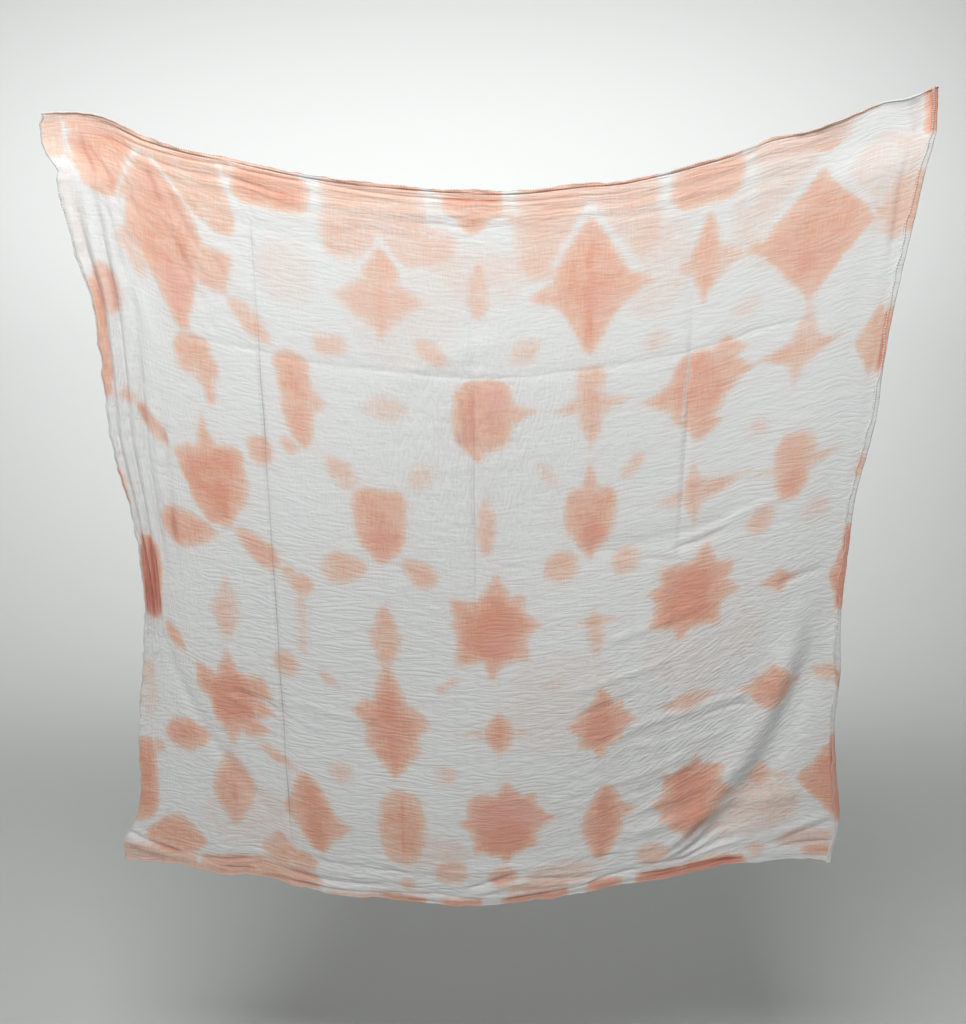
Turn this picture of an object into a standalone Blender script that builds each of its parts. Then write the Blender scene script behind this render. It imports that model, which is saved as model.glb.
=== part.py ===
"""A square of dyed cotton gauze, hung face on by its two top corners.

Metres, +Z up. The flat back plane is y = 0, the cloth hangs in front of it on
the -Y side, and the origin is the middle of the top edge. A point of the cloth
is first named on the flat square, by how far it lies across from the left
edge and down from the top edge, and then hung().
"""

import math

import bpy
import numpy as np

# Driving dimensions.
CUT = 1.12
THICKNESS = 0.0015
STAND_OFF = 0.006
PRESS_FOLDS = (CUT / 4, CUT / 2, CUT * 3 / 4)

# The top hangs in pleats, so the first rows take up less height than they are long.
PLEATED_SHARE = 0.038
PLEATED_REACH = 0.05

# The corners lie flat on the back plane within PIN_FLAT of each pin.
PINS = ((0.045, 0.040), (1.040, 0.040))
PIN_FLAT = 0.024
PIN_REACH = 0.085

# A narrow strip of the right edge is turned over to the front.
TURNED_STRIP = 0.012
TURN_RADIUS = 0.0026
TURN_AT = CUT - TURNED_STRIP - math.pi * TURN_RADIUS

# How far in from a side edge the cloth gives way to the shape of that edge.
EDGE_REACH = 0.20

# Where the straight threads hang: across the flat cloth, across the back plane.
THREADS = (
    (0.000, -0.530),
    (0.280, -0.285),
    (0.560, -0.008),
    (0.840, 0.272),
    (TURN_AT, 0.546 - TURN_RADIUS),
)

# The four edges as they hang. Top and bottom: across, height.
TOP_EDGE = (
    (-0.530, 0.088),
    (-0.488, 0.089),
    (-0.456, 0.083),
    (-0.407, 0.061),
    (-0.357, 0.046),
    (-0.293, 0.033),
    (-0.228, 0.020),
    (-0.152, 0.009),
    (-0.060, 0.001),
    (0.050, -0.001),
    (0.118, 0.006),
    (0.174, 0.010),
    (0.222, 0.019),
    (0.287, 0.035),
    (0.324, 0.046),
    (0.353, 0.058),
    (0.403, 0.069),
    (0.447, 0.083),
    (0.490, 0.101),
    (0.520, 0.105),
    (0.546, 0.118),
)
BOTTOM_EDGE = (
    (-0.541, -0.964),
    (-0.455, -0.971),
    (-0.400, -0.987),
    (-0.328, -0.993),
    (-0.273, -1.011),
    (-0.217, -1.025),
    (-0.155, -1.030),
    (-0.086, -1.040),
    (-0.010, -1.046),
    (0.085, -1.035),
    (0.142, -1.024),
    (0.199, -1.010),
    (0.263, -1.000),
    (0.311, -0.989),
    (0.359, -0.974),
    (0.420, -0.967),
    (0.478, -0.961),
    (0.529, -0.964),
)

# Left and right: height, across, from the bottom corner up.
LEFT_EDGE = (
    (-0.964, -0.541),
    (-0.919, -0.530),
    (-0.882, -0.512),
    (-0.758, -0.497),
    (-0.676, -0.485),
    (-0.568, -0.469),
    (-0.474, -0.466),
    (-0.397, -0.474),
    (-0.331, -0.486),
    (-0.202, -0.489),
    (-0.131, -0.493),
    (-0.071, -0.508),
    (-0.033, -0.514),
    (0.005, -0.520),
    (0.021, -0.519),
    (0.050, -0.534),
    (0.088, -0.530),
)
RIGHT_EDGE = (
    (-0.964, 0.529),
    (-0.900, 0.536),
    (-0.804, 0.522),
    (-0.740, 0.513),
    (-0.649, 0.512),
    (-0.580, 0.505),
    (-0.468, 0.504),
    (-0.386, 0.506),
    (-0.302, 0.519),
    (-0.182, 0.524),
    (-0.106, 0.531),
    (-0.033, 0.540),
    (0.023, 0.546),
    (0.068, 0.553),
    (0.118, 0.546),
)

# Broad swells of the cloth: across, down, half width, half length, height.
SWELLS = (
    (0.30, 0.50, 0.16, 0.22, 0.004),
    (0.66, 0.30, 0.17, 0.16, 0.003),
    (0.74, 0.78, 0.16, 0.20, 0.006),
    (0.42, 0.98, 0.20, 0.10, 0.004),
    (1.00, 0.52, 0.08, 0.22, 0.005),
    (0.50, 0.72, 0.08, 0.16, -0.003),
)

# Folds: across and down at each end, sideways bow, half width, height, lean.
# A negative height is a trough. Lean slides a ridge over its right-hand side,
# seen along the fold, by that share of its height.
TOP_PLEATS = (
    (0.02, 0.007, 1.10, 0.007, 0.000, 0.008, 0.0035, 0.4),
    (0.03, 0.030, 1.08, 0.028, 0.004, 0.010, 0.0022, 0.5),
    (0.05, 0.056, 0.62, 0.050, 0.006, 0.011, 0.0022, 0.5),
    (0.50, 0.054, 1.05, 0.060, 0.006, 0.011, 0.0008, 0.5),
    (0.08, 0.086, 0.46, 0.074, 0.010, 0.012, 0.0012, 0.3),
    (0.66, 0.078, 1.02, 0.090, 0.010, 0.012, 0.0005, 0.3),
)
PIN_WRINKLES = (
    (0.050, 0.070, 0.135, 0.340, 0.010, 0.013, 0.0018, 0.0),
    (0.060, 0.070, 0.215, 0.310, 0.012, 0.015, 0.0014, 0.0),
    (0.070, 0.060, 0.290, 0.220, 0.010, 0.016, 0.0010, 0.0),
    (1.035, 0.060, 0.900, 0.190, -0.010, 0.016, 0.0012, 0.0),
    (1.050, 0.080, 1.005, 0.340, -0.008, 0.016, 0.0010, 0.0),
)
SIDE_PLEATS = (
    (0.006, 0.070, 0.008, 0.800, 0.000, 0.008, 0.0045, 0.0),
    (0.040, 0.090, 0.036, 0.760, 0.003, 0.011, 0.0055, 0.0),
    (0.074, 0.110, 0.068, 0.720, 0.004, 0.012, 0.0045, 0.0),
    (0.112, 0.150, 0.104, 0.660, 0.004, 0.013, 0.0024, 0.0),
    (1.075, 0.090, 1.080, 0.640, 0.002, 0.012, 0.0016, 0.0),
)
HEM_PLEATS = (
    (0.000, 1.078, 0.100, 1.104, 0.004, 0.012, 0.0080, 0.7),
    (0.100, 1.108, 1.090, 1.108, 0.000, 0.008, 0.0035, 0.3),
    (0.180, 1.080, 0.920, 1.082, 0.003, 0.012, 0.0042, 0.5),
    (0.360, 1.050, 0.860, 1.054, 0.004, 0.012, 0.0026, 0.4),
    (0.760, 1.030, 1.060, 1.004, -0.004, 0.013, 0.0024, 0.3),
)
BROAD_FOLDS = (
    (1.062, 0.740, 0.884, 1.100, -0.027, 0.022, -0.0090, 0.0),
    (1.020, 0.715, 0.840, 1.080, -0.032, 0.024, 0.0080, 0.0),
    (0.690, 0.840, 0.990, 0.821, 0.000, 0.014, 0.0028, 0.2),
    (0.700, 0.540, 0.930, 0.530, 0.008, 0.015, -0.0035, 0.0),
    (0.450, 0.300, 0.600, 0.230, -0.012, 0.016, 0.0012, 0.0),
)
PRESS_WIDTH = 0.009
UPRIGHT_PRESS_DEPTH = -0.0016
LEVEL_PRESS_DEPTH = -0.0004

# The faces, dense where the cloth is pleated: from, to, spacing.
COLUMN_RUNS = ((0.000, 0.128, 0.0128), (0.128, 1.010, 0.0370), (1.010, TURN_AT, 0.0150))
ROW_RUNS = ((0.000, 0.096, 0.0096), (0.096, 1.036, 0.0376), (1.036, CUT, 0.0120))
TURN_STEPS = 4


def through(rows, at):
    """A smooth curve through rows of (position, value), read at some positions."""
    knots, values = np.array(rows, float).T
    slopes = np.gradient(values, knots)
    piece = np.clip(np.searchsorted(knots, at) - 1, 0, len(knots) - 2)
    span = knots[piece + 1] - knots[piece]
    q = np.clip((at - knots[piece]) / span, 0, 1)
    start = (1 + 2 * q) * (1 - q) ** 2 * values[piece] + q * (1 - q) ** 2 * span * slopes[piece]
    end = q**2 * (3 - 2 * q) * values[piece + 1] - q**2 * (1 - q) * span * slopes[piece + 1]
    return start + end


def ease(q):
    """0 up to q = 0, 1 from q = 1, smooth between."""
    q = np.clip(q, 0, 1)
    return q * q * (3 - 2 * q)


def hung_share(down):
    """The share of the hung height that lies above a row of the flat cloth."""
    share = down / CUT
    return (1 + PLEATED_SHARE) * share - PLEATED_SHARE * (1 - np.exp(-share / PLEATED_REACH))


def off_the_pins(across, down):
    """0 on the flat corners, 1 away from them."""
    free = np.ones_like(across)
    for pin_across, pin_down in PINS:
        distance = np.hypot(across - pin_across, down - pin_down)
        free = free * ease((distance - PIN_FLAT) / (PIN_REACH - PIN_FLAT))
    return free


def fold(across, down, row):
    """How much of one fold is at each point, 0 to 1, and the fold's direction."""
    from_across, from_down, to_across, to_down, bow, half_width, _, _ = row
    length = math.hypot(to_across - from_across, to_down - from_down)
    along = ((to_across - from_across) / length, (to_down - from_down) / length)
    q = ((across - from_across) * along[0] + (down - from_down) * along[1]) / length
    side = (down - from_down) * along[0] - (across - from_across) * along[1]
    held = np.clip(q, 0, 1)
    side = side - 4 * bow * held * (1 - held)
    beyond = (q - held) * length
    near = np.exp(-((side / half_width) ** 2) - (beyond / half_width) ** 2)
    return near * (0.25 + 0.75 * ease(held / 0.2) * ease((1 - held) / 0.2)), along


def all_folds():
    rows = list(TOP_PLEATS + PIN_WRINKLES + SIDE_PLEATS + HEM_PLEATS + BROAD_FOLDS)
    for place in PRESS_FOLDS:
        rows.append((place, 0.05, place, 1.07, 0, PRESS_WIDTH, UPRIGHT_PRESS_DEPTH, 0))
        rows.append((0.14, place, 1.06, place, 0, PRESS_WIDTH, LEVEL_PRESS_DEPTH, 0))
    return rows


def hung(across, down):
    """World points of the middle of the cloth, for arrays of flat positions."""
    lying = np.minimum(across, TURN_AT)
    share = hung_share(down)
    left_top, left_foot = LEFT_EDGE[-1][0], LEFT_EDGE[0][0]
    right_top, right_foot = RIGHT_EDGE[-1][0], RIGHT_EDGE[0][0]
    left = through(LEFT_EDGE, left_top + share * (left_foot - left_top)) - LEFT_EDGE[-1][1]
    right = through(RIGHT_EDGE, right_top + share * (right_foot - right_top)) - RIGHT_EDGE[-1][1]
    thread = through(THREADS, lying)
    x = thread + left * np.clip(1 - lying / EDGE_REACH, 0, 1) ** 2
    x = x + right * np.clip(1 - (TURN_AT - lying) / EDGE_REACH, 0, 1) ** 2
    z = (1 - share) * through(TOP_EDGE, thread) + share * through(BOTTOM_EDGE, x)

    free = off_the_pins(lying, down)
    depth = STAND_OFF * np.ones_like(x)
    for swell_across, swell_down, half_width, half_length, height in SWELLS:
        spread = ((lying - swell_across) / half_width) ** 2 + ((down - swell_down) / half_length) ** 2
        depth = depth + height * np.exp(-spread)
    for row in all_folds():
        there, along = fold(lying, down, row)
        height, lean = row[-2:]
        depth = depth + height * there
        x = x - free * lean * height * there * along[1]
        z = z - free * lean * height * there * along[0]
    depth = THICKNESS / 2 + free * np.maximum(depth, 0)

    turn = np.clip((across - lying) / TURN_RADIUS, 0, math.pi)
    back = np.maximum(across - lying - math.pi * TURN_RADIUS, 0)
    x = x + TURN_RADIUS * np.sin(turn) - back
    depth = depth + TURN_RADIUS * (1 - np.cos(turn))
    return np.stack([x, -depth, z], axis=-1)


def spaced(runs):
    """Positions along the runs, with a line on each press fold and on both its sides."""
    places = []
    for start, end, spacing in runs:
        steps = round((end - start) / spacing)
        places += [start + (end - start) * i / steps for i in range(steps)]
    places.append(runs[-1][1])
    clear = [p for p in places if min(abs(p - fold_at) for fold_at in PRESS_FOLDS) > 2 * PRESS_WIDTH]
    pressed = [fold_at + side * PRESS_WIDTH for fold_at in PRESS_FOLDS for side in (-1.3, 0, 1.3)]
    return sorted(clear + pressed)


def cloth_lines():
    columns = spaced(COLUMN_RUNS)
    columns += [TURN_AT + math.pi * TURN_RADIUS * (i + 1) / TURN_STEPS for i in range(TURN_STEPS)]
    columns += [CUT - TURNED_STRIP / 2, CUT]
    return np.array(columns), np.array(spaced(ROW_RUNS))


def gauze_material():
    material = bpy.data.materials.new("dyed gauze")
    material.use_nodes = True
    shader = material.node_tree.nodes["Principled BSDF"]
    shader.inputs["Base Color"].default_value = (0.86, 0.72, 0.65, 1)
    shader.inputs["Roughness"].default_value = 0.9
    shader.inputs["Metallic"].default_value = 0
    return material


def make_cloth():
    columns, rows = cloth_lines()
    across, down = np.meshgrid(columns, rows)
    points = hung(across, down).reshape(-1, 3)
    wide = len(columns)
    faces = []
    for row in range(len(rows) - 1):
        for column in range(wide - 1):
            corner = row * wide + column
            faces.append((corner, corner + wide, corner + wide + 1, corner + 1))
    mesh = bpy.data.meshes.new("cloth")
    mesh.from_pydata(points.tolist(), [], faces)
    mesh.shade_smooth()
    mesh.materials.append(gauze_material())
    cloth = bpy.data.objects.new("cloth", mesh)
    bpy.context.scene.collection.objects.link(cloth)
    thicken = cloth.modifiers.new("thickness", "SOLIDIFY")
    thicken.thickness = THICKNESS
    thicken.offset = 0
    return cloth


def main():
    for leftover in list(bpy.data.objects):
        bpy.data.objects.remove(leftover)
    make_cloth()


main()
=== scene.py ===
"""A square of fold-dyed cotton gauze, hung face on by its two top corners.

Metres, +Z up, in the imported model's frame: the flat back plane is y = 0, the
cloth hangs in front of it on the -Y side, and the origin is the middle of the
top edge. A point of the cloth is first named on the flat square, by how far it
lies across from the left edge and down from the top edge, and then hung().
"""

import math

import bpy
import numpy as np
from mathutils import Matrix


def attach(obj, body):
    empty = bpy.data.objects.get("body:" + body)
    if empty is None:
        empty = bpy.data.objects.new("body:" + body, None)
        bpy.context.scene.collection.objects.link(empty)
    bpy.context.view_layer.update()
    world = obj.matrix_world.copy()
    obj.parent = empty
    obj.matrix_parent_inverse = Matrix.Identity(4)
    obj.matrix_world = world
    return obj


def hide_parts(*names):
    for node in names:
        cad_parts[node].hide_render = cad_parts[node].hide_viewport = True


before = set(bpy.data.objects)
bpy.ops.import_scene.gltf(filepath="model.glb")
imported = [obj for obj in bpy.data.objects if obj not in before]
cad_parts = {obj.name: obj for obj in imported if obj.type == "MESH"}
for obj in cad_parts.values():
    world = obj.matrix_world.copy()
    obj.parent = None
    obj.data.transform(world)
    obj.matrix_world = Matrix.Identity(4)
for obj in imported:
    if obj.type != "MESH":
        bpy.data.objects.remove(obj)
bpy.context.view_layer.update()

# Driving dimensions, as in the part's source.
CUT = 1.12
THICKNESS = 0.0015
STAND_OFF = 0.006
PRESS_FOLDS = (CUT / 4, CUT / 2, CUT * 3 / 4)

# The top hangs in pleats, so the first rows take up less height than they are long.
PLEATED_SHARE = 0.038
PLEATED_REACH = 0.05

# The corners lie flat on the back plane within PIN_FLAT of each pin.
PINS = ((0.045, 0.040), (1.040, 0.040))
PIN_FLAT = 0.024
PIN_REACH = 0.085

# A narrow strip of the right edge is turned over to the front.
TURNED_STRIP = 0.012
TURN_RADIUS = 0.0018
TURN_AT = CUT - TURNED_STRIP - math.pi * TURN_RADIUS

# How far in from a side edge the cloth gives way to the shape of that edge.
EDGE_REACH = 0.20

# Where the straight threads hang: across the flat cloth, across the back plane.
THREADS = (
    (0.000, -0.530),
    (0.280, -0.285),
    (0.560, -0.008),
    (0.840, 0.272),
    (TURN_AT, 0.546 - TURN_RADIUS),
)

# The four edges as they hang. Top and bottom: across, height.
TOP_EDGE = (
    (-0.530, 0.088),
    (-0.488, 0.089),
    (-0.456, 0.083),
    (-0.407, 0.061),
    (-0.357, 0.046),
    (-0.293, 0.033),
    (-0.228, 0.020),
    (-0.152, 0.009),
    (-0.060, 0.001),
    (0.050, -0.001),
    (0.118, 0.006),
    (0.174, 0.010),
    (0.222, 0.019),
    (0.287, 0.035),
    (0.324, 0.046),
    (0.353, 0.058),
    (0.403, 0.069),
    (0.447, 0.083),
    (0.490, 0.101),
    (0.520, 0.105),
    (0.546, 0.118),
)
BOTTOM_EDGE = (
    (-0.541, -0.964),
    (-0.455, -0.971),
    (-0.400, -0.987),
    (-0.328, -0.993),
    (-0.273, -1.011),
    (-0.217, -1.025),
    (-0.155, -1.030),
    (-0.086, -1.040),
    (-0.010, -1.046),
    (0.085, -1.035),
    (0.142, -1.024),
    (0.199, -1.010),
    (0.263, -1.000),
    (0.311, -0.989),
    (0.359, -0.974),
    (0.420, -0.967),
    (0.478, -0.961),
    (0.529, -0.964),
)

# Left and right: height, across, from the bottom corner up.
LEFT_EDGE = (
    (-0.964, -0.541),
    (-0.919, -0.530),
    (-0.882, -0.512),
    (-0.758, -0.497),
    (-0.676, -0.485),
    (-0.568, -0.469),
    (-0.474, -0.466),
    (-0.397, -0.474),
    (-0.331, -0.486),
    (-0.202, -0.489),
    (-0.131, -0.493),
    (-0.071, -0.508),
    (-0.033, -0.514),
    (0.005, -0.520),
    (0.021, -0.519),
    (0.050, -0.534),
    (0.088, -0.530),
)
RIGHT_EDGE = (
    (-0.964, 0.529),
    (-0.900, 0.536),
    (-0.804, 0.522),
    (-0.740, 0.513),
    (-0.649, 0.512),
    (-0.580, 0.505),
    (-0.468, 0.504),
    (-0.386, 0.506),
    (-0.302, 0.519),
    (-0.182, 0.524),
    (-0.106, 0.531),
    (-0.033, 0.540),
    (0.023, 0.546),
    (0.068, 0.553),
    (0.118, 0.546),
)

# Broad swells of the cloth: across, down, half width, half length, height.
SWELLS = (
    (0.30, 0.50, 0.16, 0.22, 0.004),
    (0.66, 0.30, 0.17, 0.16, 0.003),
    (0.74, 0.78, 0.16, 0.20, 0.006),
    (0.42, 0.98, 0.20, 0.10, 0.004),
    (1.00, 0.52, 0.08, 0.22, 0.005),
    (0.50, 0.72, 0.08, 0.16, -0.003),
)

# Folds: across and down at each end, sideways bow, half width, height, lean.
# A negative height is a trough. Lean slides a ridge over its right-hand side,
# seen along the fold, by that share of its height.
MAIN_FOLDS = (
    # Pleats under the top edge.
    (0.02, 0.007, 1.10, 0.007, 0.000, 0.008, 0.0012, 0.1),
    (0.03, 0.030, 1.08, 0.028, 0.004, 0.010, 0.0010, 0.2),
    (0.05, 0.056, 0.62, 0.050, 0.006, 0.011, 0.0011, 0.2),
    (0.50, 0.054, 1.05, 0.060, 0.006, 0.011, 0.0008, 0.5),
    (0.08, 0.086, 0.46, 0.074, 0.010, 0.012, 0.0007, 0.2),
    (0.66, 0.078, 1.02, 0.090, 0.010, 0.012, 0.0005, 0.3),
    # Wrinkles that fan out from the pins.
    (0.050, 0.070, 0.135, 0.340, 0.010, 0.013, 0.0010, 0.0),
    (0.060, 0.070, 0.215, 0.310, 0.012, 0.015, 0.0006, 0.0),
    (0.070, 0.060, 0.290, 0.220, 0.010, 0.016, 0.0005, 0.0),
    (1.035, 0.060, 0.900, 0.190, -0.010, 0.016, 0.0006, 0.0),
    (1.050, 0.080, 1.005, 0.340, -0.008, 0.016, 0.0004, 0.0),
    # Pleats along the sides.
    (0.006, 0.070, 0.008, 0.800, 0.000, 0.008, 0.0045, 0.0),
    (0.040, 0.090, 0.036, 0.760, 0.003, 0.011, 0.0055, 0.0),
    (0.074, 0.110, 0.068, 0.720, 0.004, 0.012, 0.0045, 0.0),
    (0.112, 0.150, 0.104, 0.660, 0.004, 0.013, 0.0024, 0.0),
    (1.075, 0.090, 1.080, 0.640, 0.002, 0.012, 0.0006, 0.0),
    # Pleats above the hem.
    (0.000, 1.078, 0.100, 1.104, 0.004, 0.012, 0.0042, 0.4),
    (0.100, 1.108, 1.090, 1.108, 0.000, 0.008, 0.0020, 0.2),
    (0.180, 1.080, 0.920, 1.082, 0.003, 0.012, 0.0012, 0.2),
    (0.360, 1.050, 0.860, 1.054, 0.004, 0.012, 0.0016, 0.2),
    (0.760, 1.030, 1.060, 1.004, -0.004, 0.013, 0.0024, 0.3),
    # Broad folds.
    (1.060, 0.730, 0.880, 1.100, -0.027, 0.030, -0.0082, 0.0),
    (1.020, 0.715, 0.840, 1.080, -0.032, 0.024, 0.0080, 0.0),
    (0.690, 0.840, 0.990, 0.821, 0.000, 0.010, 0.0010, 0.1),
    (0.700, 0.540, 0.930, 0.530, 0.008, 0.015, -0.0016, 0.0),
    (0.450, 0.300, 0.600, 0.230, -0.012, 0.016, 0.0012, 0.0),
    (0.072, 0.746, 0.252, 1.004, 0.006, 0.014, -0.0024, 0.0),
)
PRESS_WIDTH = 0.009
UPRIGHT_PRESS_DEPTH = -0.0016
LEVEL_PRESS_DEPTH = -0.0004

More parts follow.
